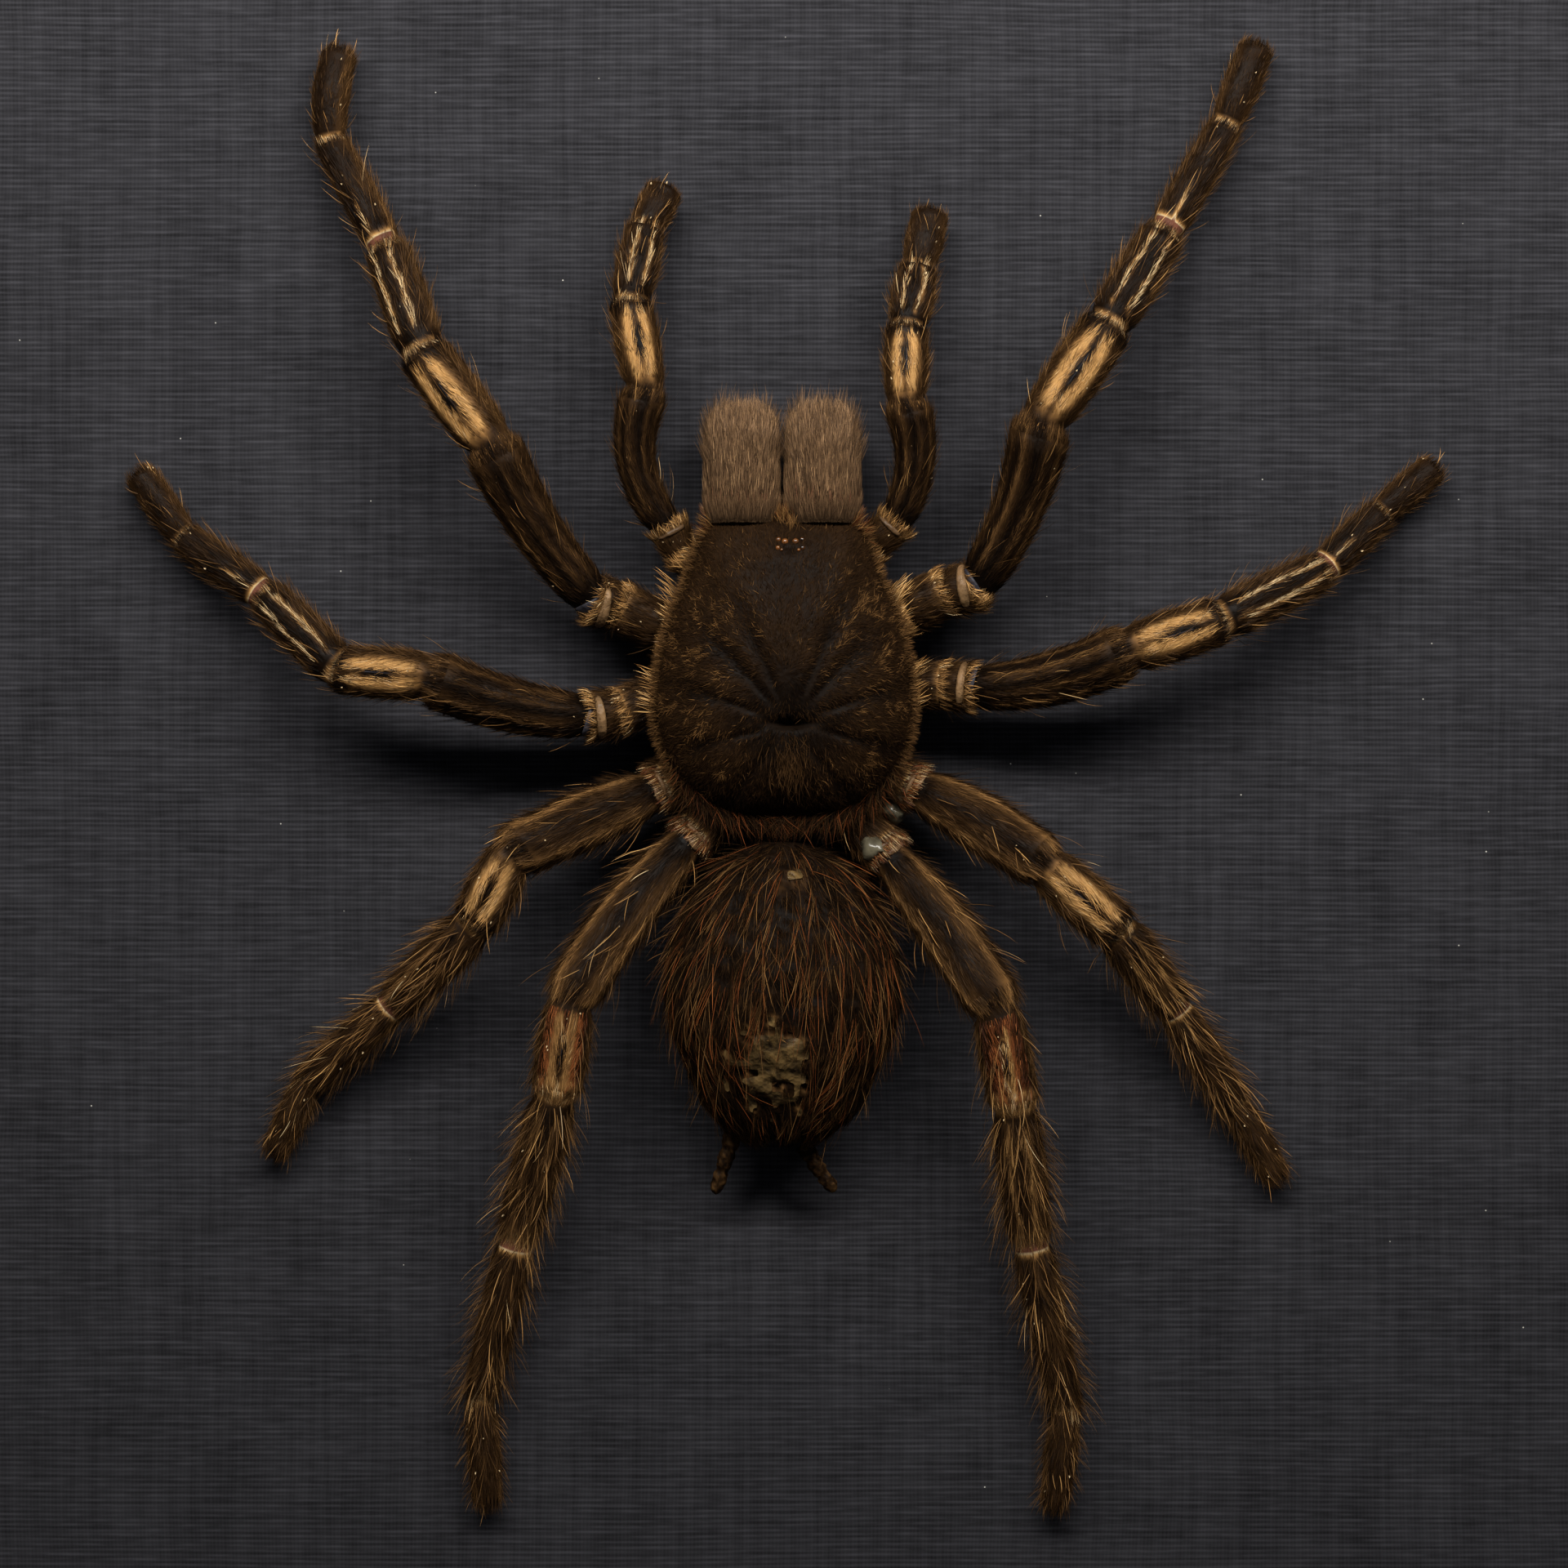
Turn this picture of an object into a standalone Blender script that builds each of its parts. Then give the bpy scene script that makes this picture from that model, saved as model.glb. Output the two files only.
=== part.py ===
"""A dried tarantula, spread on a cloth-covered board in a plain black shadow-box frame.

The frame lies on its back. The origin is the centre of the back face, +Z points at the viewer and
+Y runs towards the spider's head. The driving sizes below are in millimetres, because the whole
object is the size of a hand, and mm() turns a point into metres.
"""

import math

import bmesh
import bpy
from mathutils import Vector

# --- frame -----------------------------------------------------------------------------------
GAP = 0.3                   # clearance between neighbouring pieces
SIGHT = 78.0                # half of the opening that the rails leave
RAIL_OUT = 94.0             # half of the frame's outer width
RAIL_DEPTH = 31.0           # back face to front face
RABBET = 84.0               # half of the width that the rabbet leaves for the board
RABBET_TOP = 11.3           # the rabbet's shoulder
BEVEL = 1.5                 # soft bevel on the rail's front edges
BOARD_TOP = 11.0            # the cloth's face
BOARD_BASE = 7.3
PANEL_TOP = 7.0
PANEL_BASE = 3.8
BOARD_HALF = RABBET - GAP

# --- fittings on the back ----------------------------------------------------------------------
POCKET_TOP = PANEL_BASE + 0.1
POCKET_CLEARANCE = 1.5      # how much wider the hanger's pocket is than the hanger, at each end
BUTTON_POCKET = (8, 12)     # width and height of a turn button's pocket
BUTTON_Y = 45.0             # two turn buttons on each side rail, this far from the middle
BUTTON_LENGTH = 9.5
BUTTON_WIDTH = 5.0
BUTTON_TOP = PANEL_BASE - GAP
BUTTON_THICK = 1.1
SCREW_RADIUS = 1.7
SCREW_IN_RAIL = 2.6         # how far outside the rabbet the button's screw stands
SCREW_EDGE = 0.5            # the upright edge of the screw's head
SCREW_HEIGHT = 1.1
HANGER_HALF = 21.0          # the saw-tooth hanger on the top rail
HANGER_TEETH = 10
HANGER_END = 5.0            # plain length at each end of the strip
HANGER_WIDTH = 5.0
HANGER_INSET = 1.6          # from the rabbet to the strip
TOOTH_DEPTH = 1.6
HANGER_FACES = (2.4, 3.4)
NAIL_X = 18.5
NAIL_HEAD = ((1.3, 2.1), (1.3, 1.8), (0.8, 1.3))    # radius and height of each ring

# --- specimen, heights above the cloth ---------------------------------------------------------
SIDES_LEG = 10              # flat sides round a limb
NECK = 0.82                 # how thin a limb's part starts, as a share of its neighbours' ends
FIRST_NECK = 0.8
TIP = 0.45
BARREL_END = 1.2            # length of the taper at each end of a part

# Half of the carapace's outline, from the middle of its back edge round to the middle of its front.
CARAPACE_OUTLINE = (
    (0.0, -2.4), (4.6, -2.1), (8.1, 0.3), (10.1, 4.4), (10.0, 9.0),
    (9.0, 13.2), (7.4, 17.2), (6.3, 20.1), (4.7, 21.0), (0.0, 21.2),
)
CARAPACE_CENTRE = (0.1, 8.6)
# Scale of the outline and height of the dome at each step up from the rim.
CARAPACE_STEPS = ((0.93, 6.6), (1.0, 7.2), (0.965, 8.8), (0.84, 10.8), (0.6, 12.2), (0.3, 12.9))

# Sternum: scale and height of each ring, and its middle and half sizes.
STERNUM_STEPS = ((0.8, 1.6), (1.0, 2.4), (1.0, 5.2), (0.85, 6.2))
STERNUM_Y = 7.6
STERNUM_HALF = (3.4, 7.2)
# Waist: place along Y, height and radius.
PEDICEL = ((-0.2, 4.9, 0.9), (-2.2, 5.0, 0.95), (-4.35, 5.3, 1.2))
# Glue dab: radius and height, under the sternum.
GLUE_STEPS = ((3.4, 0.3), (2.9, 0.8), (2.4, 1.3))
GLUE_Y = 7.0

# Abdomen: place along Y, half width, lowest and highest point.
ABDOMEN = (
    (-4.7, 2.0, 4.4, 7.4), (-6.2, 4.9, 2.6, 9.6), (-9.0, 7.3, 1.4, 11.8), (-12.5, 8.8, 0.8, 13.2),
    (-16.5, 9.4, 0.6, 13.8), (-20.0, 8.9, 0.8, 13.2), (-23.5, 7.4, 1.3, 11.6), (-26.2, 5.4, 2.2, 9.4),
    (-28.2, 2.9, 3.4, 7.2),
)
ABDOMEN_X = -0.1

# One limb's parts: radius near its body end, in its middle and near its far end.
SEGMENTS = {
    "palp": ((1.2, 1.4, 1.4), (1.4, 1.5, 1.5), (1.5, 1.55, 1.75), (1.7, 1.8, 1.65),
             (1.65, 1.75, 1.5), (1.4, 1.45, 1.15)),
    "leg_1": ((1.5, 1.9, 2.0), (2.0, 2.0, 1.9), (1.9, 2.0, 1.9), (1.95, 2.05, 2.3),
              (2.15, 2.2, 2.05), (2.0, 1.95, 1.75), (1.55, 1.5, 1.35), (1.35, 1.45, 1.15)),
    "leg_2": ((1.5, 1.9, 1.9), (1.9, 1.9, 1.8), (1.9, 2.0, 1.9), (1.95, 2.15, 2.2),
              (2.05, 2.05, 1.9), (1.9, 1.8, 1.6), (1.5, 1.45, 1.3), (1.25, 1.15, 0.8)),
    "leg_3": ((1.4, 1.8, 1.9), (2.1, 2.35, 2.2), (2.0, 2.1, 1.9),
              (1.95, 1.8, 1.6), (1.5, 1.45, 1.3), (1.25, 1.2, 0.9)),
    "leg_4": ((1.3, 1.7, 1.8), (2.0, 2.3, 2.2), (2.0, 2.1, 1.95),
              (1.9, 1.85, 1.6), (1.55, 1.45, 1.25), (1.2, 1.2, 0.9)),
}

# Where each limb's joints lie: (x, y, height above the cloth), from under the carapace to the tip.
# "bow" pushes the middle of a part sideways, for those that dried in a curve.
LIMBS = {
    "palp_left": {
        "joints": ((-4.6, 16.2, 4.2), (-8.2, 18.5, 5.0), (-9.2, 20.5, 5.2), (-11.1, 31.7, 7.5),
                   (-12.4, 38.8, 6.2), (-11.2, 45.1, 3.6), (-9.7, 48.3, 2.2)),
        "bow": {2: (-1.7, -0.3)},
    },
    "palp_right": {
        "joints": ((4.6, 16.4, 4.2), (7.0, 19.1, 5.0), (8.8, 20.9, 5.2), (9.8, 30.6, 7.5),
                   (9.9, 36.8, 6.2), (10.9, 41.8, 3.8), (11.9, 46.4, 2.2)),
        "bow": {2: (1.2, -0.2)},
    },
    "leg_1_left": {
        "joints": ((-5.2, 11.6, 4.0), (-9.6, 12.4, 4.6), (-13.3, 14.5, 5.0), (-15.2, 14.8, 5.4),
                   (-23.4, 27.2, 9.5), (-29.0, 34.7, 8.2), (-32.1, 43.3, 5.0), (-36.8, 52.2, 2.6),
                   (-36.0, 59.7, 1.9)),
        "bow": {3: (-0.6, -0.4), 7: (-0.4, 0.0)},
    },
    "leg_1_right": {
        "joints": ((5.4, 12.0, 4.0), (9.7, 14.0, 4.6), (12.9, 15.5, 5.0), (15.4, 15.9, 5.4),
                   (20.6, 28.9, 9.5), (26.0, 36.8, 8.2), (30.7, 44.5, 5.0), (35.9, 53.5, 2.6),
                   (38.5, 60.1, 1.9)),
        "bow": {3: (0.8, -0.3)},
    },
    "leg_2_left": {
        "joints": ((-5.4, 7.0, 4.0), (-10.0, 7.2, 4.4), (-13.2, 5.9, 4.9), (-15.6, 5.5, 5.2),
                   (-28.4, 8.6, 9.5), (-35.7, 9.2, 8.0), (-41.9, 15.2, 4.8), (-48.7, 20.1, 2.5),
                   (-52.5, 25.3, 1.7)),
        "bow": {3: (0.0, -0.7)},
    },
    "leg_2_right": {
        "joints": ((5.4, 7.2, 4.0), (10.2, 8.0, 4.4), (12.9, 8.0, 4.9), (15.0, 7.8, 5.2),
                   (27.5, 10.7, 9.5), (35.0, 13.1, 8.0), (43.5, 17.3, 4.8), (48.5, 22.0, 2.5),
                   (52.9, 25.8, 1.7)),
        "bow": {3: (0.1, -0.8)},
    },
    "leg_3_left": {
        "joints": ((-5.2, 2.3, 3.9), (-10.4, -0.5, 4.6), (-21.8, -5.5, 9.0), (-24.8, -11.1, 7.8),
                   (-31.3, -17.6, 4.8), (-38.6, -24.1, 2.6), (-41.4, -29.9, 1.8)),
        "bow": {1: (0.0, 0.1)},
    },
    "leg_3_right": {
        "joints": ((5.2, 2.3, 3.9), (10.8, -0.4, 4.6), (20.8, -6.4, 9.0), (26.7, -11.7, 7.8),
                   (31.3, -17.8, 4.8), (36.6, -25.9, 2.6), (40.1, -32.0, 1.8)),
        "bow": {1: (0.1, 0.3)},
    },
    "leg_4_left": {
        "joints": ((-3.9, -0.8, 3.9), (-7.6, -4.4, 4.8), (-17.1, -17.2, 9.5), (-18.3, -24.7, 8.2),
                   (-21.5, -36.4, 5.0), (-24.7, -49.7, 2.7), (-24.1, -58.4, 1.8)),
        "bow": {1: (-0.5, 0.3)},
    },
    "leg_4_right": {
        "joints": ((4.0, -0.9, 3.9), (8.4, -5.6, 4.8), (17.0, -17.8, 9.5), (18.5, -25.7, 8.2),
                   (19.8, -36.4, 5.0), (22.9, -50.5, 2.7), (22.0, -58.6, 1.8)),
        "bow": {1: (0.3, 0.1)},
    },
}

# Chelicera: place along Y, half width, lowest and highest point.
CHELICERA = (
    (21.5, 2.2, 4.0, 9.4), (22.4, 2.65, 3.5, 10.4), (25.0, 2.75, 3.3, 10.8), (27.4, 2.6, 3.3, 10.0),
    (29.0, 2.1, 3.6, 8.6), (29.9, 1.2, 4.4, 7.0),
)
CHELICERA_X = {"left": -3.4, "right": 3.1}
FANG_RADIUS = 0.8
FANG_POINT = 0.15
FANG_FROM_Y = 29.0          # a fang starts under the front of its jaw and folds back
FANG_LENGTH = 6.0
FANG_HEIGHT = 2.1
FANG_SAG = 0.9
SPINNERETS = {
    "left": ((-4.0, -28.0, 3.6), (-4.7, -30.3, 3.7), (-5.6, -33.2, 3.1)),
    "right": ((1.6, -29.2, 3.4), (2.6, -30.9, 3.6), (4.1, -33.0, 3.0)),
}
SPINNERET_RADII = (0.75, 0.8, 0.6, 0.72, 0.62, 0.55, 0.35)

# --- finishes: colour, roughness, metallic ------------------------------------------------------
BLACK_WOOD = (0.022, 0.021, 0.020), 0.42, 0.0
SLATE_CLOTH = (0.028, 0.029, 0.034), 0.9, 0.0
GREY_CARD = (0.19, 0.17, 0.14), 0.9, 0.0
BRASSED_STEEL = (0.42, 0.33, 0.18), 0.4, 1.0
HAIRY_BROWN = (0.075, 0.052, 0.028), 0.85, 0.0
DARK_BROWN = (0.035, 0.024, 0.014), 0.8, 0.0
GREY_TAN = (0.16, 0.13, 0.09), 0.85, 0.0
BLACK_HORN = (0.012, 0.010, 0.009), 0.25, 0.0
CLEAR_GLUE = (0.45, 0.43, 0.36), 0.3, 0.0

for old in list(bpy.data.objects):
    bpy.data.objects.remove(old, do_unlink=True)

frame_empty = bpy.data.objects.new("shadow_box", None)
specimen_empty = bpy.data.objects.new("specimen", None)
specimen_empty.location.z = BOARD_TOP / 1000
for empty in (frame_empty, specimen_empty):
    bpy.context.scene.collection.objects.link(empty)


def mm(x, y, z):
    return Vector((x, y, z)) / 1000


def finish(name, look):
    """A plain material of one colour for one piece."""
    colour, roughness, metallic = look
    material = bpy.data.materials.new(name + "_finish")
    material.use_nodes = True
    shader = material.node_tree.nodes["Principled BSDF"]
    shader.inputs["Base Color"].default_value = (*colour, 1)
    shader.inputs["Roughness"].default_value = roughness
    shader.inputs["Metallic"].default_value = metallic
    return material


def piece(name, bm, look, parent, smooth=True):
    """Turns a bmesh into a named object with its own finish."""
    bmesh.ops.recalc_face_normals(bm, faces=bm.faces)
    mesh = bpy.data.meshes.new(name)
    bm.to_mesh(mesh)
    bm.free()
    if smooth:
        mesh.shade_smooth()
        mesh.set_sharp_from_angle(angle=math.radians(40))
    obj = bpy.data.objects.new(name, mesh)
    obj.data.materials.append(finish(name, look))
    obj.parent = parent
    bpy.context.scene.collection.objects.link(obj)
    return obj


def loft(rings):
    """A closed skin through rings of the same number of points, with a flat cap at both ends."""
    bm = bmesh.new()
    rows = [[bm.verts.new(point) for point in ring] for ring in rings]
    count = len(rows[0])
    for low, high in zip(rows, rows[1:]):
        for i in range(count):
            j = (i + 1) % count
            bm.faces.new((low[i], low[j], high[j], high[i]))
    bm.faces.new(rows[0])
    bm.faces.new(rows[-1])
    return bm


def circle(centre, across, up, radius, count):
    """Points round a centre in the plane of two unit vectors."""
    turns = [2 * math.pi * i / count for i in range(count)]
    return [centre + radius * (across * math.cos(a) + up * math.sin(a)) for a in turns]


# --- the shadow-box frame -----------------------------------------------------------------------
def rail(name, quarter_turns):
    """One mitred rail. It is drawn for the right-hand side and turned into its place."""
    section = (
        (RABBET, 0), (RAIL_OUT, 0), (RAIL_OUT, RAIL_DEPTH - BEVEL), (RAIL_OUT - BEVEL, RAIL_DEPTH),
        (SIGHT + BEVEL, RAIL_DEPTH), (SIGHT, RAIL_DEPTH - BEVEL), (SIGHT, RABBET_TOP), (RABBET, RABBET_TOP),
    )
    trim = GAP / math.sqrt(2)
    ends = [[mm(x, side * (x - trim), z) for x, z in section] for side in (-1, 1)]
    obj = piece(name, loft(ends), BLACK_WOOD, frame_empty, smooth=False)
    obj.rotation_euler.z = quarter_turns * math.pi / 2
    return obj


def pocket(rail_obj, name, centre, size):
    """Cuts a shallow pocket for a fitting into the back of a rail."""
    bm = bmesh.new()
    bmesh.ops.create_cube(bm, size=1)
    bmesh.ops.scale(bm, vec=mm(*size), verts=bm.verts)
    bmesh.ops.translate(bm, vec=mm(*centre), verts=bm.verts)
    cutter = piece(name, bm, GREY_CARD, frame_empty, smooth=False)
    cutter.hide_render = True
    cutter.display_type = "WIRE"
    cut = rail_obj.modifiers.new(name, "BOOLEAN")
    cut.operation = "DIFFERENCE"
    cut.object = cutter


def slab(name, half, base, top, look):
    """A square sheet with lightly bevelled edges."""
    bm = bmesh.new()
    bmesh.ops.create_cube(bm, size=1)
    bmesh.ops.scale(bm, vec=mm(2 * half, 2 * half, top - base), verts=bm.verts)
    bmesh.ops.translate(bm, vec=mm(0, 0, (base + top) / 2), verts=bm.verts)
    piece(name, bm, look, frame_empty, smooth=False)


rails = {name: rail("rail_" + name, turns)
         for turns, name in enumerate(("right", "top", "left", "bottom"))}
slab("mount_board", BOARD_HALF, BOARD_BASE, BOARD_TOP, SLATE_CLOTH)
slab("back_panel", BOARD_HALF, PANEL_BASE, PANEL_TOP, GREY_CARD)


def turn_button(name, side, y):
    """A stadium-shaped plate that swings over the back panel, and the screw that it turns on."""
    screw_x = RABBET + SCREW_IN_RAIL
    radius = BUTTON_WIDTH / 2
    inner_x = screw_x - (BUTTON_LENGTH - BUTTON_WIDTH)
    outline = []
    for centre_x, start in ((screw_x, -90), (inner_x, 90)):
        for step in range(7):
            angle = math.radians(start + 30 * step)
            outline.append((centre_x + radius * math.cos(angle), radius * math.sin(angle)))
    levels = (BUTTON_TOP - BUTTON_THICK, BUTTON_TOP)
    rings = [[mm(side * x, y + dy, z) for x, dy in outline] for z in levels]
    piece("turn_button_" + name, loft(rings), BRASSED_STEEL, frame_empty)

    top = BUTTON_TOP - BUTTON_THICK - GAP
    dome = ((SCREW_RADIUS, top), (SCREW_RADIUS, top - SCREW_EDGE), (SCREW_RADIUS * 0.6, top - SCREW_HEIGHT))
    head = [circle(mm(side * screw_x, y, z), Vector((1, 0, 0)), Vector((0, 1, 0)), r / 1000, 12)
            for r, z in dome]
    piece("button_screw_" + name, loft(head), BRASSED_STEEL, frame_empty)
    pocket(rails["right" if side > 0 else "left"], "pocket_" + name,
           (side * (RABBET + 2), y, POCKET_TOP / 2 - 1), (*BUTTON_POCKET, POCKET_TOP + 2))


for side_name, side in (("left", -1), ("right", 1)):
    turn_button(side_name + "_upper", side, BUTTON_Y)
    turn_button(side_name + "_lower", side, -BUTTON_Y)


def hanger():
    """The saw-tooth strip that a wall nail catches, held by two short nails."""
    base_y = RABBET + HANGER_INSET
    middle_y = base_y + HANGER_WIDTH / 2
    root_y = base_y + TOOTH_DEPTH
    first = -HANGER_HALF + HANGER_END
    pitch = -2 * first / HANGER_TEETH
    outline = [(-HANGER_HALF, base_y + HANGER_WIDTH), (-HANGER_HALF, base_y), (first, base_y)]
    for tooth in range(HANGER_TEETH):
        left = first + tooth * pitch
        outline.append((left + pitch / 2, root_y))
        outline.append((left + pitch, base_y))
    outline += [(HANGER_HALF, base_y), (HANGER_HALF, base_y + HANGER_WIDTH)]
    rings = [[mm(x, y, z) for x, y in outline] for z in HANGER_FACES]
    piece("hanger", loft(rings), BRASSED_STEEL, frame_empty, smooth=False)
    for name, x in (("left", -NAIL_X), ("right", NAIL_X)):
        rings = [circle(mm(x, middle_y, z), Vector((1, 0, 0)), Vector((0, 1, 0)), r / 1000, 10)
                 for r, z in NAIL_HEAD]
        piece("hanger_nail_" + name, loft(rings), BRASSED_STEEL, frame_empty)
    size = (2 * (HANGER_HALF + POCKET_CLEARANCE), HANGER_WIDTH + 4, POCKET_TOP + 2)
    pocket(rails["top"], "hanger_pocket", (0, middle_y, POCKET_TOP / 2 - 1), size)


hanger()


# --- the specimen -------------------------------------------------------------------------------
def smooth_curve(points, steps):
    """Points on a smooth curve (Catmull-Rom) through a few given ones."""
    points = [Vector(p) for p in points]
    padded = [points[0] * 2 - points[1], *points, points[-1] * 2 - points[-2]]
    curve = []
    for a, b, c, d in zip(padded, padded[1:], padded[2:], padded[3:]):
        for step in range(steps):
            t = step / steps
            curve.append(0.5 * (2 * b + (c - a) * t + (2 * a - 5 * b + 4 * c - d) * t ** 2
                                + (3 * b - a - 3 * c + d) * t ** 3))
    curve.append(points[-1])
    return curve


def carapace():
    half = smooth_curve([(x, y, 0) for x, y in CARAPACE_OUTLINE], 2)
    whole = half + [Vector((-p.x, p.y, 0)) for p in reversed(half[1:-1])]
    centre = Vector((*CARAPACE_CENTRE, 0))
    rings = []
    for scale, height in CARAPACE_STEPS:
        rings.append([(centre + (p - centre) * scale + Vector((0, 0, height))) / 1000 for p in whole])
    piece("carapace", loft(rings), DARK_BROWN, specimen_empty)


def sternum():
    """The underside of the front body, which the hips stand round."""
    rings = []
    turns = [2 * math.pi * i / 16 for i in range(16)]
    wide, long = STERNUM_HALF
    for scale, height in STERNUM_STEPS:
        rings.append([mm(wide * scale * math.cos(a), STERNUM_Y + long * scale * math.sin(a), height)
                      for a in turns])
    piece("sternum", loft(rings), DARK_BROWN, specimen_empty)


def pedicel():
    rings = [circle(mm(0, y, z), Vector((1, 0, 0)), Vector((0, 0, 1)), r / 1000, 10)
             for y, z, r in PEDICEL]
    piece("pedicel", loft(rings), DARK_BROWN, specimen_empty)


def oval_rings(stations, centre_x, count):
    """Upright oval rings along Y, each from its half width and its lowest and highest point."""
    rings = []
    for y, half, low, high in stations:
        turns = [2 * math.pi * i / count for i in range(count)]
        middle = (low + high) / 2
        tall = (high - low) / 2
        rings.append([mm(centre_x + half * math.cos(a), y, middle + tall * math.sin(a)) for a in turns])
    return rings


def chelicera(side, centre_x):
    piece("chelicera_" + side, loft(oval_rings(CHELICERA, centre_x, 12)), GREY_TAN, specimen_empty)
    rings = []
    for step in range(7):
        t = step / 6
        height = FANG_HEIGHT - FANG_SAG * math.sin(math.pi * t) ** 2
        centre = mm(centre_x * (1 - 0.25 * t), FANG_FROM_Y - FANG_LENGTH * t, height)
        radius = FANG_RADIUS * (1 - t) + FANG_POINT * t
        rings.append(circle(centre, Vector((1, 0, 0)), Vector((0, 0, 1)), radius / 1000, 8))
    piece("fang_" + side, loft(rings), BLACK_HORN, specimen_empty)


def spinneret(side, path):
    """A short jointed finger behind the abdomen."""
    points = smooth_curve(path, 3)
    rings = []
    for i, (point, radius) in enumerate(zip(points, SPINNERET_RADII)):
        along = (points[min(i + 1, len(points) - 1)] - points[max(i - 1, 0)]).normalized()
        across = along.cross(Vector((0, 0, 1))).normalized()
        rings.append(circle(point / 1000, across, across.cross(along), radius / 1000, 8))
    piece("spinneret_" + side, loft(rings), DARK_BROWN, specimen_empty)


def limb_rings(joints, segments, bows, count):
    """Rings down a limb: each part is a barrel between two necks, bent to its bow."""
    joints = [Vector(p) for p in joints]
    stations = []
    for i, (near, middle, far) in enumerate(segments):
        start, end = joints[i], joints[i + 1]
        length = (end - start).length
        handle = (start + end) / 2 + 2 * Vector((*bows.get(i, (0, 0)), 0))
        step = min(0.3, BARREL_END / length)
        neck = near * FIRST_NECK if i == 0 else min(near, segments[i - 1][2]) * NECK
        for t, radius in ((0, neck), (step, near), (0.5, middle), (1 - step, far)):
            centre = start * (1 - t) ** 2 + handle * 2 * t * (1 - t) + end * t ** 2
            along = ((handle - start) * (1 - t) + (end - handle) * t).normalized()
            stations.append([centre, along, radius])
    tip = stations[-1][1]
    stations.append([joints[-1], tip, segments[-1][2] * TIP])
    for i in range(4, len(stations) - 1, 4):
        stations[i][1] = (stations[i][1] + stations[i - 1][1]).normalized()
    rings = []
    for centre, along, radius in stations:
        across = along.cross(Vector((0, 0, 1))).normalized()
        rings.append(circle(centre / 1000, across, across.cross(along), radius / 1000, count))
    return rings


def limb(name, plan):
    kind = name.rsplit("_", 1)[0]
    rings = limb_rings(plan["joints"], SEGMENTS[kind], plan["bow"], SIDES_LEG)
    piece(name, loft(rings), HAIRY_BROWN, specimen_empty)


carapace()
sternum()
pedicel()
piece("abdomen", loft(oval_rings(ABDOMEN, ABDOMEN_X, 18)), DARK_BROWN, specimen_empty)
for side, centre_x in CHELICERA_X.items():
    chelicera(side, centre_x)
for side, path in SPINNERETS.items():
    spinneret(side, path)
for name, plan in LIMBS.items():
    limb(name, plan)

# The dab of glue under the sternum that holds the specimen to the cloth.
glue = [circle(mm(0, GLUE_Y, z), Vector((1, 0, 0)), Vector((0, 1, 0)), r / 1000, 14)
        for r, z in GLUE_STEPS]
piece("glue_pad", loft(glue), CLEAR_GLUE, specimen_empty)
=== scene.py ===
# %% [markdown]
# # A framed tarantula, finished
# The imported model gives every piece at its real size: the shadow-box frame, the cloth-covered
# board, and plain solids for the dried spider. This lesson keeps the made pieces and gives them
# their finishes. The grown pieces get a fine skin in the space of their solid, and then hair, strand
# by strand, because on this animal nearly everything that is seen is hair.

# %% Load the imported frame
import math

import bpy
import numpy as np
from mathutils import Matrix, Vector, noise


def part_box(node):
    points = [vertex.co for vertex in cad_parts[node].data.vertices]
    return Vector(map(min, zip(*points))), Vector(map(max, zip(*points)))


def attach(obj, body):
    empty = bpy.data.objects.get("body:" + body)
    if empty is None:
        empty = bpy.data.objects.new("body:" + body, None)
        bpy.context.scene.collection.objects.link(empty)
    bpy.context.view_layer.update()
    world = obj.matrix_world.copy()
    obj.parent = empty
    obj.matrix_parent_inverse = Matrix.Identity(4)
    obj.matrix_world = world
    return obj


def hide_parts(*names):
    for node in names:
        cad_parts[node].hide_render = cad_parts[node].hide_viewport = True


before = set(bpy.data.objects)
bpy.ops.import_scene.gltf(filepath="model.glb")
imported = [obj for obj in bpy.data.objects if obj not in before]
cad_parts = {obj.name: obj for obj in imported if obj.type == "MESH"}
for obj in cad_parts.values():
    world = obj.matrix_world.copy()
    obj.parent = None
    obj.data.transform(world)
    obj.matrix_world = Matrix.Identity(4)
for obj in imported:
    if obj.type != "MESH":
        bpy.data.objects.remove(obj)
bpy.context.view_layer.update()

BOARD_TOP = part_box("mount_board")[1][2]
print("pieces in the frame:", len(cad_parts), "cloth at", round(BOARD_TOP * 1000, 1), "mm")

# %% [markdown]
# ## Camera
# The specimen is looked at straight down, as a collector does at a bench. A long lens from half
# a metre keeps the tall abdomen and the flat feet at nearly the same scale. The lens is worked out
# from the width that is to be seen on the cloth.

# %% Camera
VIEW_DISTANCE = 0.5
VIEW_WIDTH = 0.128
SENSOR = 36.0
camera_data = bpy.data.cameras.new("camera")
camera_data.sensor_width = SENSOR
camera_data.lens = SENSOR * VIEW_DISTANCE / VIEW_WIDTH
camera = bpy.data.objects.new("camera", camera_data)
camera.location = (0, 0, BOARD_TOP + VIEW_DISTANCE)
bpy.context.scene.collection.objects.link(camera)
bpy.context.scene.camera = camera
print("lens", round(camera_data.lens, 1), "mm")

# %% [markdown]
# ## Soft studio light
# One wide lamp hangs beyond the head end of the board, so each leg throws a soft shadow towards the
# tail, and the cloth gets darker that way. A weak lamp and a dim even sky fill the rest. Colours are
# shown plainly, with no film curve, so that the dark browns stay where they are mixed. Light between
# hairs dies out after two bounces, so no more are worked out.

# %% Lights and sky
bpy.context.scene.view_settings.view_transform = "Standard"
bpy.context.scene.cycles.max_bounces = 3
bpy.context.scene.cycles.diffuse_bounces = 2


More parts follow.
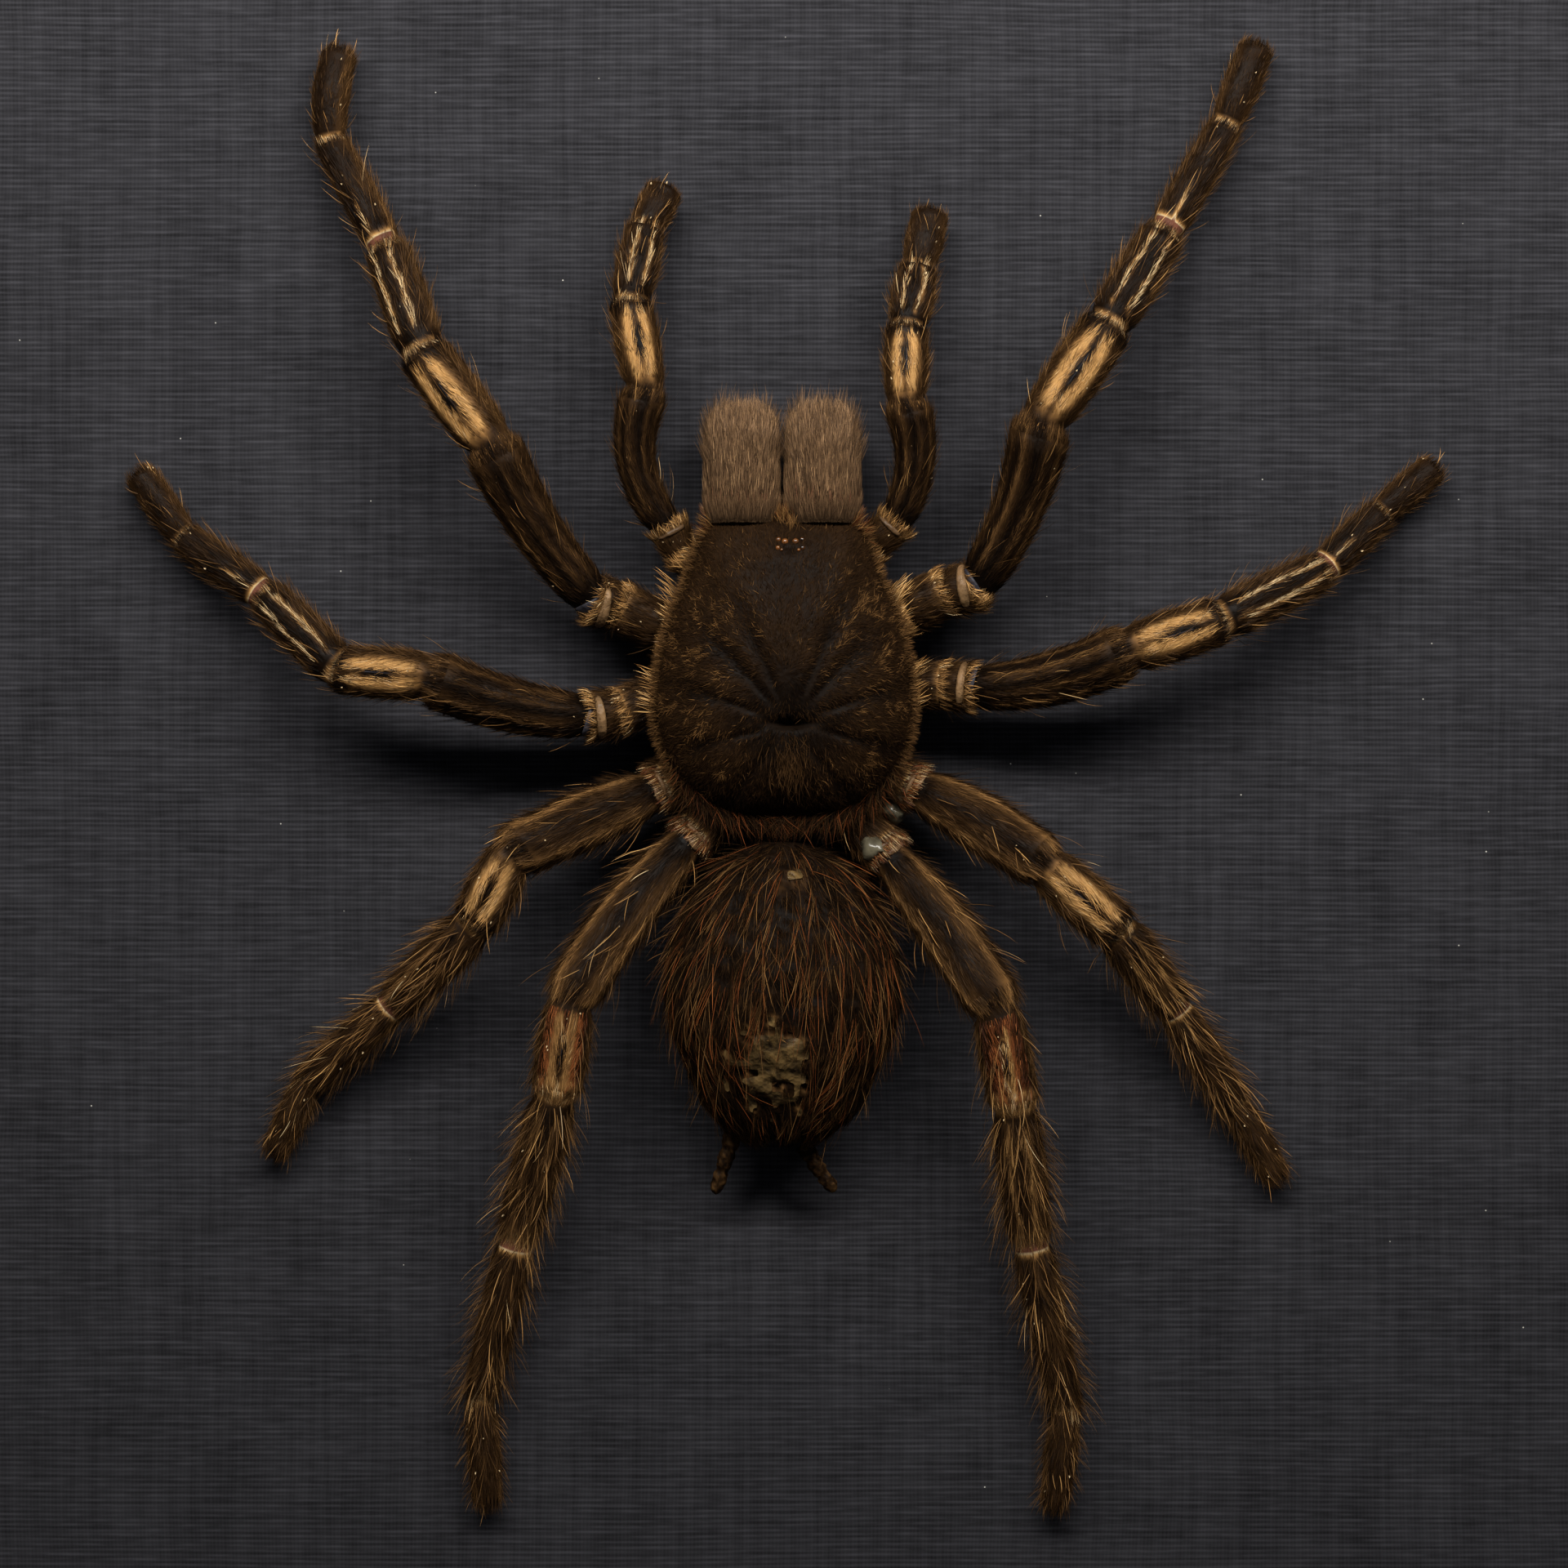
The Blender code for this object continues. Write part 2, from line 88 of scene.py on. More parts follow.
def lamp(name, place, size, power, colour):
    """A rectangular lamp that looks straight down."""
    data = bpy.data.lights.new(name, "AREA")
    data.shape = "RECTANGLE"
    data.size, data.size_y = size
    data.energy = power
    data.color = colour
    obj = bpy.data.objects.new(name, data)
    obj.location = place
    obj.visible_camera = False
    bpy.context.scene.collection.objects.link(obj)


lamp("key_lamp", (0.02, 0.17, BOARD_TOP + 0.22), (0.42, 0.07), 2.2, (1.0, 0.965, 0.91))
lamp("fill_lamp", (0.25, -0.1, BOARD_TOP + 0.9), (0.8, 0.8), 0.35, (0.92, 0.95, 1.0))
world = bpy.data.worlds.new("studio")
world.use_nodes = True
world.node_tree.nodes["Background"].inputs["Color"].default_value = (0.78, 0.82, 0.9, 1)
world.node_tree.nodes["Background"].inputs["Strength"].default_value = 0.035
bpy.context.scene.world = world

# %% [markdown]
# ## Shader helpers
# Node trees are long to write by hand. One helper adds a node, sets its options and either links or
# fills each input, and another mixes a colour from the familiar 0 to 255 scale.

# %% Shader helpers


def tint(red, green, blue):
    """A colour on the 0 to 255 screen scale, as the linear light a shader wants."""
    parts = [c / 255 for c in (red, green, blue)]
    return (*[c / 12.92 if c <= 0.04045 else ((c + 0.055) / 1.055) ** 2.4 for c in parts], 1.0)


def add(tree, kind, inputs=None, **options):
    """Adds a shader node. inputs maps a socket's name or number to a value or to another socket."""
    new = tree.nodes.new("ShaderNode" + kind)
    for key, value in options.items():
        setattr(new, key, value)
    for key, value in (inputs or {}).items():
        if isinstance(value, bpy.types.NodeSocket):
            tree.links.new(value, new.inputs[key])
        else:
            new.inputs[key].default_value = value
    return new


def maths(tree, operation, first, second=0.0, clamp=False):
    return add(tree, "Math", {0: first, 1: second}, operation=operation, use_clamp=clamp).outputs[0]


def blend(tree, factor, first, second):
    """Mixes two colours."""
    new = add(tree, "Mix", data_type="RGBA")
    for key, value in ((0, factor), (6, first), (7, second)):
        if isinstance(value, bpy.types.NodeSocket):
            tree.links.new(value, new.inputs[key])
        else:
            new.inputs[key].default_value = value
    return new.outputs[2]


def remap(tree, value, low, high, to_low=0.0, to_high=1.0):
    return add(tree, "MapRange", {0: value, 1: low, 2: high, 3: to_low, 4: to_high}).outputs[0]


def stretched(tree, place, scale):
    """A place with each axis multiplied by its own scale."""
    return add(tree, "VectorMath", {0: place, 1: scale}, operation="MULTIPLY").outputs[0]


def material(name, **plain):
    """A new material, its tree, its shader, and the place in metres of each point on the piece."""
    new = bpy.data.materials.new(name)
    new.use_nodes = True
    tree = new.node_tree
    shader = tree.nodes["Principled BSDF"]
    for socket, value in plain.items():
        shader.inputs[socket.replace("_", " ")].default_value = value
    place = add(tree, "TexCoord").outputs["Object"]
    return new, tree, shader, place


def bump(tree, shader, height, strength, distance):
    new = add(tree, "Bump", {"Strength": strength, "Distance": distance, "Height": height})
    tree.links.new(new.outputs[0], shader.inputs["Normal"])


def group(name, takes, gives):
    """A shader node group with named inputs and outputs."""
    tree = bpy.data.node_groups.new(name, "ShaderNodeTree")
    kinds = {"vector": "NodeSocketVector", "value": "NodeSocketFloat", "colour": "NodeSocketColor"}
    for label, kind, start in takes:
        socket = tree.interface.new_socket(label, in_out="INPUT", socket_type=kinds[kind])
        if start is not None:
            socket.default_value = start
    for label, kind in gives:
        tree.interface.new_socket(label, in_out="OUTPUT", socket_type=kinds[kind])
    start = tree.nodes.new("NodeGroupInput")
    end = tree.nodes.new("NodeGroupOutput")
    return tree, start.outputs, end.inputs


def use(tree, made, inputs):
    """Places a node group in a material."""
    new = add(tree, "Group", node_tree=made)
    for key, value in inputs.items():
        if isinstance(value, bpy.types.NodeSocket):
            tree.links.new(value, new.inputs[key])
        else:
            new.inputs[key].default_value = value
    return new.outputs


print("middle grey as linear light:", round(tint(128, 128, 128)[0], 3))

# %% [markdown]
# ## Effects that several finishes share
# Dust settles on the cloth, the rails and the brass alike. Long fibres show in painted wood and in
# grey card. Dried skin is crinkled at two sizes. Each of these is a node group, built once, and each
# material places it with its own values.

# %% Dust group
dust_tree, takes, gives = group(
    "dust specks", [("Place", "vector", None), ("Spacing", "value", 0.003), ("Amount", "value", 0.5)],
    [("Specks", "value"), ("Haze", "value")])
rate = maths(dust_tree, "DIVIDE", 1.0, takes["Spacing"])
cells = add(dust_tree, "TexVoronoi", {"Vector": takes["Place"], "Scale": rate})
near = remap(dust_tree, cells.outputs["Distance"], 0.012, 0.03, 1.0, 0.0)
pick = add(dust_tree, "SeparateColor", {0: cells.outputs["Color"]})
chosen = maths(dust_tree, "LESS_THAN", pick.outputs[0], takes["Amount"])
shine = remap(dust_tree, pick.outputs[1], 0.0, 1.0, 0.25, 1.0)
specks = maths(dust_tree, "MULTIPLY", maths(dust_tree, "MULTIPLY", near, chosen), shine)
dust_tree.links.new(specks, gives["Specks"])
cloud = add(dust_tree, "TexNoise", {"Vector": takes["Place"], "Scale": 45.0, "Detail": 4.0})
dust_tree.links.new(remap(dust_tree, cloud.outputs[0], 0.35, 0.75), gives["Haze"])

# %% Fibre and crinkle groups
fibre_tree, takes, gives = group(
    "long fibres", [("Place", "vector", None), ("Fineness", "value", 900.0)],
    [("Fibres", "value"), ("Streaks", "value")])
thin = add(fibre_tree, "TexNoise", {"Vector": takes["Place"], "Scale": takes["Fineness"], "Detail": 3.0,
                                    "Roughness": 0.7})
wide = add(fibre_tree, "TexNoise", {"Vector": takes["Place"], "Scale": 130.0, "Detail": 2.0})
fibre_tree.links.new(remap(fibre_tree, thin.outputs[0], 0.3, 0.7), gives["Fibres"])
fibre_tree.links.new(remap(fibre_tree, wide.outputs[0], 0.3, 0.7), gives["Streaks"])

crinkle_tree, takes, gives = group(
    "dried crinkle", [("Place", "vector", None), ("Coarse", "value", 500.0), ("Fine", "value", 2600.0)],
    [("Height", "value"), ("Mottle", "value")])
folds = add(crinkle_tree, "TexNoise", {"Vector": takes["Place"], "Scale": takes["Coarse"], "Detail": 5.0,
                                       "Distortion": 0.8})
pores = add(crinkle_tree, "TexVoronoi", {"Vector": takes["Place"], "Scale": takes["Fine"]})
rough = maths(crinkle_tree, "ADD", folds.outputs[0], maths(crinkle_tree, "MULTIPLY", pores.outputs[0], 0.3))
crinkle_tree.links.new(rough, gives["Height"])
crinkle_tree.links.new(remap(crinkle_tree, folds.outputs[0], 0.35, 0.68), gives["Mottle"])
print("shared effects:", [g.name for g in bpy.data.node_groups])

# %% [markdown]
# ## One colour scale for all the hair
# Every strand carries a single number, its tone. The scale runs from the bluish bare skin through
# blackish and olive brown to straw and cream, then through the pink of the soft joints to the rust
# of the long abdomen hairs. Each strand is painted darker towards its root: painted shade standing
# for the shade that its neighbours cast there. The skin uses the same scale, so a pale band on it
# matches the pale hair that grows there.

# %% Hair colour group
TONES = (
    (0.00, (78, 76, 86)), (0.05, (15, 11, 9)), (0.11, (15, 9, 5)), (0.20, (37, 24, 13)),
    (0.31, (67, 46, 25)), (0.42, (107, 77, 45)), (0.52, (152, 111, 65)), (0.62, (216, 166, 102)),
    (0.71, (236, 208, 160)), (0.78, (140, 90, 70)), (0.85, (64, 34, 18)), (0.93, (120, 66, 34)),
    (1.00, (180, 108, 58)),
)
hair_tree, takes, gives = group(
    "hair colour", [("Tone", "value", 0.3), ("Along", "value", 1.0), ("Root", "value", 0.35),
                    ("Grey", "value", 0.0)], [("Colour", "colour")])
scale = add(hair_tree, "ValToRGB", {0: takes["Tone"]})
ramp = scale.color_ramp
for _ in range(len(TONES) - 2):
    ramp.elements.new(0.5)
# Every stop is placed before any is coloured, because moving one can change their order.
for element, (position, colour) in zip(ramp.elements, TONES):
    element.position = position
for element, (position, colour) in zip(ramp.elements, TONES):
    element.color = tint(*colour)
# Painted shade: along each strand the colour is scaled from Root at the root up to full at three quarters of
# its length.
shade = add(hair_tree, "MapRange", {0: takes["Along"], 1: 0.0, 2: 0.75, 3: takes["Root"], 4: 1.0})
lit = add(hair_tree, "VectorMath", {0: scale.outputs[0], "Scale": shade.outputs[0]}, operation="SCALE")
faded = add(hair_tree, "HueSaturation", {"Saturation": maths(hair_tree, "SUBTRACT", 1.0, takes["Grey"]),
                                         "Color": lit.outputs[0]})
hair_tree.links.new(faded.outputs[0], gives["Colour"])


def hair_material(name, root, grey, roughness, gloss):
    """Dry hair: its colour is read from the tone, and it is painted darker towards each strand's root as
    shade.
    """
    new, tree, shader, place = material(name, Roughness=roughness, Specular_IOR_Level=gloss)
    tone = add(tree, "Attribute", attribute_name="tone").outputs["Fac"]
    along = add(tree, "Attribute", attribute_name="along").outputs["Fac"]
    made = use(tree, hair_tree, {"Tone": tone, "Along": along, "Root": root, "Grey": grey})
    tree.links.new(made["Colour"], shader.inputs["Base Color"])
    return new


# The first number is the painted shade at each strand's root, as the share of its colour left there.
LIMB_HAIR = hair_material("limb hair", 0.30, 0.0, 0.5, 0.05)
BODY_HAIR = hair_material("body velvet", 0.25, 0.0, 0.7, 0.02)
JAW_HAIR = hair_material("jaw hair", 0.35, 0.14, 0.5, 0.10)
print("stops on the tone scale:", len(TONES))

# %% [markdown]
# ## Dried skin
# Under the hair the shell is dark: it takes the hair's tones painted darker, as painted shade from the hair
# over it, and it is faintly glossy and crinkled. It shows in the bare stripes of the legs, at the front of
# the carapace and on the worn patch of the abdomen.

# %% Skin materials


def skin_material(name, brightness_under_shade, grey, roughness, relief, gloss=0.12):
    """Skin that takes its colour from the same tones as the hair, painted darker as shade from the hair over
    it.
    """
    new, tree, shader, place = material(name, Specular_IOR_Level=gloss)
    tone = add(tree, "Attribute", attribute_name="tone").outputs["Fac"]
    made = use(tree, hair_tree, {"Tone": tone, "Along": 1.0, "Root": 1.0, "Grey": grey})
    crinkle = use(tree, crinkle_tree, {"Place": place})
    # Painted shade: only this share of the hair's colour is kept, for the shade of the hair over the skin,
    # and it shifts with the crinkle's mottle.
    deep = remap(tree, crinkle["Mottle"], 0.0, 1.0, brightness_under_shade * 0.6, brightness_under_shade * 1.25)
    colour = add(tree, "VectorMath", {0: made["Colour"], "Scale": deep}, operation="SCALE")
    tree.links.new(colour.outputs[0], shader.inputs["Base Color"])
    gloss = remap(tree, crinkle["Mottle"], 0.0, 1.0, roughness - 0.12, roughness + 0.12)
    tree.links.new(gloss, shader.inputs["Roughness"])
    bump(tree, shader, crinkle["Height"], 0.7, relief)
    return new


# The first number is the share of the hair's colour that each skin keeps; the rest is painted shade.
LIMB_SKIN = skin_material("limb skin", 0.55, 0.0, 0.5, 0.00012, 0.05)
BODY_SKIN = skin_material("body skin", 0.50, 0.0, 0.62, 0.00016, 0.05)
PLATE_SKIN = skin_material("joint plates", 0.40, 0.1, 0.45, 0.00025, 0.2)


def plain_skin(name, colour, roughness, coarse):
    """Dried skin of one colour, mottled by its own folds."""
    new, tree, shader, place = material(name, Specular_IOR_Level=0.4)
    crinkle = use(tree, crinkle_tree, {"Place": place, "Coarse": coarse})
    dark = [c * 0.45 for c in tint(*colour)[:3]] + [1]
    tree.links.new(blend(tree, crinkle["Mottle"], dark, tint(*colour)), shader.inputs["Base Color"])
    tree.links.new(remap(tree, crinkle["Height"], 0.2, 0.9, roughness, roughness + 0.3),
                   shader.inputs["Roughness"])
    bump(tree, shader, crinkle["Height"], 0.6, 0.00015)
    return new


DRY_SKIN = plain_skin("dry skin", (72, 52, 30), 0.45, 600.0)
HORN = plain_skin("black horn", (30, 24, 22), 0.18, 300.0)
print("finishes so far:", [m.name for m in bpy.data.materials])

# %% [markdown]
# ## The spider's plan
# The limb plan repeats the one that the solids were made from: where each joint lies, in
# millimetres from the middle of the board and above the cloth, and how thick each part is near its
# body end, in its middle and near its far end. The last part is a little fuller, because here its
# pad is part of the skin. "bow" pushes the middle of a part sideways. "roll" says how far, in
# degrees, the limb dried twisted, so that its stripes lie a little to one side.

# %% Limb plan
PARTS = {
    "palp": ("coxa", "trochanter", "femur", "patella", "tibia", "tarsus"),
    "leg_1": ("coxa", "coxa", "trochanter", "femur", "patella", "tibia", "metatarsus", "tarsus"),
    "leg_2": ("coxa", "coxa", "trochanter", "femur", "patella", "tibia", "metatarsus", "tarsus"),
    "leg_3": ("coxa", "femur", "patella", "tibia", "metatarsus", "tarsus"),
    "leg_4": ("coxa", "femur", "patella", "tibia", "metatarsus", "tarsus"),
}
THICKNESS = {
    "palp": ((1.2, 1.4, 1.4), (1.4, 1.5, 1.5), (1.5, 1.55, 1.75), (1.7, 1.8, 1.65),
             (1.65, 1.75, 1.5), (1.45, 1.6, 1.45)),
    "leg_1": ((1.5, 1.9, 2.0), (2.0, 2.0, 1.9), (1.9, 2.0, 1.9), (1.95, 2.05, 2.3),
              (2.15, 2.2, 2.05), (2.0, 1.95, 1.75), (1.55, 1.5, 1.35), (1.4, 1.55, 1.4)),
    "leg_2": ((1.5, 1.9, 1.9), (1.9, 1.9, 1.8), (1.9, 2.0, 1.9), (1.95, 2.15, 2.2),
              (2.05, 2.05, 1.9), (1.9, 1.8, 1.6), (1.5, 1.45, 1.3), (1.3, 1.4, 1.25)),
    "leg_3": ((1.4, 1.8, 1.9), (2.1, 2.35, 2.2), (2.0, 2.1, 1.9),
              (1.95, 1.8, 1.6), (1.5, 1.45, 1.3), (1.25, 1.3, 1.1)),
    "leg_4": ((1.3, 1.7, 1.8), (2.0, 2.3, 2.2), (2.0, 2.1, 1.95),
              (1.9, 1.85, 1.6), (1.55, 1.45, 1.25), (1.25, 1.3, 1.1)),
}
LIMBS = {
    "palp_left": {
        "joints": ((-4.6, 16.2, 4.2), (-8.2, 18.5, 5.0), (-9.2, 20.5, 5.2), (-11.1, 31.7, 7.5),
                   (-12.4, 38.8, 6.2), (-11.2, 45.1, 3.6), (-9.7, 48.3, 2.2)),
        "bow": {2: (-1.7, -0.3)}, "roll": -6,
    },
    "palp_right": {
        "joints": ((4.6, 16.4, 4.2), (7.0, 19.1, 5.0), (8.8, 20.9, 5.2), (9.8, 30.6, 7.5),
                   (9.9, 36.8, 6.2), (10.9, 41.8, 3.8), (11.9, 46.4, 2.2)),
        "bow": {2: (1.2, -0.2)}, "roll": 4,
    },
    "leg_1_left": {
        "joints": ((-5.2, 11.6, 4.0), (-9.6, 12.4, 4.6), (-13.3, 14.5, 5.0), (-15.2, 14.8, 5.4),
                   (-23.4, 27.2, 9.5), (-29.0, 34.7, 8.2), (-32.1, 43.3, 5.0), (-36.8, 52.2, 2.6),
                   (-36.0, 59.7, 1.9)),
        "bow": {3: (-0.6, -0.4), 7: (-0.4, 0.0)}, "roll": 18,
    },
    "leg_1_right": {
        "joints": ((5.4, 12.0, 4.0), (9.7, 14.0, 4.6), (12.9, 15.5, 5.0), (15.4, 15.9, 5.4),
                   (20.6, 28.9, 9.5), (26.0, 36.8, 8.2), (30.7, 44.5, 5.0), (35.9, 53.5, 2.6),
                   (38.5, 60.1, 1.9)),
        "bow": {3: (0.8, -0.3)}, "roll": 0,
    },
    "leg_2_left": {
        "joints": ((-5.4, 7.0, 4.0), (-10.0, 7.2, 4.4), (-13.2, 5.9, 4.9), (-15.6, 5.5, 5.2),
                   (-28.4, 8.6, 9.5), (-35.7, 9.2, 8.0), (-41.9, 15.2, 4.8), (-48.7, 20.1, 2.5),
                   (-52.5, 25.3, 1.7)),
        "bow": {3: (0.0, -0.7)}, "roll": 4,
    },
    "leg_2_right": {
        "joints": ((5.4, 7.2, 4.0), (10.2, 8.0, 4.4), (12.9, 8.0, 4.9), (15.0, 7.8, 5.2),
                   (27.5, 10.7, 9.5), (35.0, 13.1, 8.0), (43.5, 17.3, 4.8), (48.5, 22.0, 2.5),
                   (52.9, 25.8, 1.7)),
        "bow": {3: (0.1, -0.8)}, "roll": 4,
    },
    "leg_3_left": {
        "joints": ((-5.2, 2.3, 3.9), (-10.4, -0.5, 4.6), (-21.8, -5.5, 9.0), (-24.8, -11.1, 7.8),
                   (-31.3, -17.6, 4.8), (-38.6, -24.1, 2.6), (-41.4, -29.9, 1.8)),
        "bow": {1: (0.0, 0.1)}, "roll": -6,
    },
    "leg_3_right": {
        "joints": ((5.2, 2.3, 3.9), (10.8, -0.4, 4.6), (20.8, -6.4, 9.0), (26.7, -11.7, 7.8),
                   (31.3, -17.8, 4.8), (36.6, -25.9, 2.6), (40.1, -32.0, 1.8)),
        "bow": {1: (0.1, 0.3)}, "roll": 4,
    },
    "leg_4_left": {
        "joints": ((-3.9, -0.8, 3.9), (-7.6, -4.4, 4.8), (-17.1, -17.2, 9.5), (-18.3, -24.7, 8.2),
                   (-21.5, -36.4, 5.0), (-24.7, -49.7, 2.7), (-24.1, -58.4, 1.8)),
        "bow": {1: (-0.5, 0.3)}, "roll": 0,
    },
    "leg_4_right": {
        "joints": ((4.0, -0.9, 3.9), (8.4, -5.6, 4.8), (17.0, -17.8, 9.5), (18.5, -25.7, 8.2),
                   (19.8, -36.4, 5.0), (22.9, -50.5, 2.7), (22.0, -58.6, 1.8)),
        "bow": {1: (0.3, 0.1)}, "roll": -4,
    },
}
print("limbs:", ", ".join(LIMBS))

# %% [markdown]
# ## Skins as grids
# Each grown piece is drawn as a grid of points: rows run from the body end to the far end, and
# columns run round it. A grid is easy to turn into a mesh, and it is also a map: a row and a column,
# with fractions, name any place on the skin, its outward direction and the way that hair lies on it.

# %% Skin helpers
COLUMNS = 28
SINK = 0.06         # how deep in the skin a strand starts, in millimetres
TONE_STEP = 0.0025  # how far apart the two edges of a strand lie on the tone scale
PIECES = []


def unit(vectors):
    return vectors / np.maximum(np.linalg.norm(vectors, axis=-1, keepdims=True), 1e-12)


def lay_out(points):
    """Millimetres above the cloth to metres in the frame."""
    return np.asarray(points).reshape(-1, 3) * 0.001 + (0, 0, BOARD_TOP)


def keep_piece(name, mesh, finish, node):
    """Links a finished mesh, makes it ride with the object and hides the solid it stands for."""
    mesh.materials.append(finish)
    obj = bpy.data.objects.new(name, mesh)
    bpy.context.scene.collection.objects.link(obj)
    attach(obj, "root")
    if node:
        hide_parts(node)
    PIECES.append(obj)
    return obj


def skin_mesh(name, grid, tone):
    """A closed mesh from a grid, with the tone of each point kept as an attribute."""
    rows, columns = grid.shape[:2]
    ends = np.array([grid[0].mean(axis=0), grid[-1].mean(axis=0)])
    points = np.concatenate([grid.reshape(-1, 3), ends])
    faces = []
    for row in range(rows - 1):
        for column in range(columns):
            after = (column + 1) % columns
            low = row * columns
            faces.append((low + column, low + after, low + columns + after, low + columns + column))
    last = (rows - 1) * columns
    for column in range(columns):
        after = (column + 1) % columns
        faces.append((column, rows * columns, after))
        faces.append((last + column, last + after, rows * columns + 1))
    mesh = bpy.data.meshes.new(name)
    mesh.from_pydata(lay_out(points).tolist(), [], faces)
    shades = np.concatenate([tone.ravel(), [tone[0].mean(), tone[-1].mean()]])
    mesh.attributes.new("tone", "FLOAT", "POINT").data.foreach_set("value", shades.astype(np.float32))
    mesh.shade_smooth()
    return mesh


def at_places(grid, row, column):
    """Reads a grid between its points: rows end, columns go round."""
    rows, columns = grid.shape[:2]
    low = np.clip(row.astype(int), 0, rows - 2)
    down = (row - low).reshape(-1, *[1] * (grid.ndim - 2))
    left = column.astype(int) % columns
    right = (left + 1) % columns
    over = (column - np.floor(column)).reshape(-1, *[1] * (grid.ndim - 2))
    near = grid[low, left] * (1 - over) + grid[low, right] * over
    far = grid[low + 1, left] * (1 - over) + grid[low + 1, right] * over
    return near * (1 - down) + far * down


def directions(grid):
    """The outward direction and the way down the rows, at every point of a grid."""
    down = np.gradient(grid, axis=0)
    around = (np.roll(grid, -1, axis=1) - np.roll(grid, 1, axis=1)) / 2
    outward = unit(np.cross(down, around))
    return outward, unit(down)


def facing_out(grid, centre):
    """The outward direction of a bag or a block, turned away from its centre, and the way down it."""
    outward, flow = directions(grid)
    return outward * np.sign(((grid - centre) * outward).sum(axis=-1, keepdims=True)), flow


def drawn_out(rng, shape):
    """Chance values over a grid, smoothed along its rows, for locks of hair that lean together."""
    values = rng.normal(0, 1, shape)
    return (np.roll(values, 1, axis=0) + values + np.roll(values, -1, axis=0)) / 1.7


def scatter(grid, per_mm2, weight, rng):
    """Rows and columns of roots, spread evenly over a skin and then thinned by a weight."""
    down = grid[1:] - grid[:-1]
    around = (np.roll(grid, -1, axis=1) - grid)[:-1]
    area = np.linalg.norm(np.cross(around, down), axis=-1) * weight[:-1]
    count = int(area.sum() * per_mm2)
    share = np.cumsum(area.ravel()) / area.sum()
    cell = np.searchsorted(share, rng.random(count))
    columns = grid.shape[1]
    return cell // columns + rng.random(count), cell % columns + rng.random(count)


# %% [markdown]
# ## Hair as narrow ribbons
# A strand could be a round tube, but tubes cost ten times the faces. Here it is a flat ribbon, a
# twentieth of a millimetre wide, that tapers to a point and bends down towards the skin as it grows.
# Each one is turned by chance about its own length, so that neighbours catch the light differently,
# as real hair does. All the strands of a piece are worked out at once, as arrays.

# %% Hair helpers


class Coat:
    """Collects strands and turns them into one mesh."""

    def __init__(self, rng):
        self.rng = rng
        self.points = []
        self.uvs = []
        self.tones = []
        self.alongs = []
        self.corners = []
        self.sizes = []
        self.used = 0

    def grow(self, root, outward, flow, length, tone, lift=14, curl=0.7, sway=0.12, width=0.06, steps=2,
             lean=0.0):
        """Adds strands. lift is the angle at the root, curl how much of it is lost at the tip."""
        count = len(root)
        rng = self.rng
        length = np.broadcast_to(length, count)[:, None]
        tone = np.clip(np.broadcast_to(tone, count), 0.07, 0.996)
        lift = np.radians(np.broadcast_to(lift, count) * rng.uniform(0.6, 1.4, count))[:, None]
        aside = unit(np.cross(flow, outward))
        lean = (np.broadcast_to(lean, count) + rng.normal(0, sway, count))[:, None]
        bend = rng.normal(0, sway, (count, 1))
        spot = root - SINK * outward
        centres = [spot]
        for step in range(steps):
            share = (step + 0.5) / steps
            angle = lift * (1 - curl * share)
            heading = unit(flow + aside * (lean + bend * share))
            spot = spot + length / steps * (heading * np.cos(angle) + outward * np.sin(angle))
            centres.append(spot)
        along = unit(centres[-1] - centres[0])
        flat = unit(np.cross(along, outward))
        turn = rng.uniform(-1.0, 1.0, (count, 1))
        edge = flat * np.cos(turn) + np.cross(along, flat) * np.sin(turn)
        half = 0.5 * width * rng.uniform(0.75, 1.25, (count, 1))
        points = []
        shares = []
        for step in range(steps):
            thick = half * (1 - 0.75 * (step / steps) ** 1.5)
            points += [centres[step] - edge * thick, centres[step] + edge * thick]
            shares += [step / steps] * 2
        points.append(centres[-1])
        shares.append(1.0)
        each = len(points)
        points = np.stack(points, axis=1)
        shares = np.broadcast_to(np.array(shares), (count, each))
        sides = np.array([-1, 1] * steps + [0]) * TONE_STEP
        u = np.clip(tone[:, None] + sides, 0, 1)
        corners = []
        sizes = []
        for step in range(steps - 1):
            a = 2 * step
            corners += [a, a + 1, a + 3, a + 2]
            sizes.append(4)
        corners += [each - 3, each - 2, each - 1]
        sizes.append(3)
        first = self.used + each * np.arange(count)[:, None]
        self.corners.append((first + np.array(corners)).ravel())
        self.sizes.append(np.tile(sizes, count))
        self.points.append(points.reshape(-1, 3))
        self.tones.append(np.repeat(tone, each))
        self.alongs.append(shares.ravel())
        self.uvs.append(np.stack([u.ravel(), shares.ravel()], axis=1))
        self.used += each * count

    def mesh(self, name):
        points = lay_out(np.concatenate(self.points))
        corners = np.concatenate(self.corners)
        sizes = np.concatenate(self.sizes)
        mesh = bpy.data.meshes.new(name)
        mesh.vertices.add(len(points))
        mesh.vertices.foreach_set("co", points.astype(np.float32).ravel())
        mesh.loops.add(len(corners))
        mesh.loops.foreach_set("vertex_index", corners.astype(np.int32))
        mesh.polygons.add(len(sizes))
        mesh.polygons.foreach_set("loop_start", (np.cumsum(sizes) - sizes).astype(np.int32))
        mesh.update(calc_edges=True)
        for label, values in (("tone", self.tones), ("along", self.alongs)):
            layer = mesh.attributes.new(label, "FLOAT", "POINT")
            layer.data.foreach_set("value", np.concatenate(values).astype(np.float32))
        uv = mesh.uv_layers.new(name="OFBake")
        uv.data.foreach_set("uv", np.concatenate(self.uvs)[corners].astype(np.float32).ravel())
        triangles = int((sizes - 2).sum())
        print(name, len(sizes), "faces,", triangles, "triangles")
        return mesh


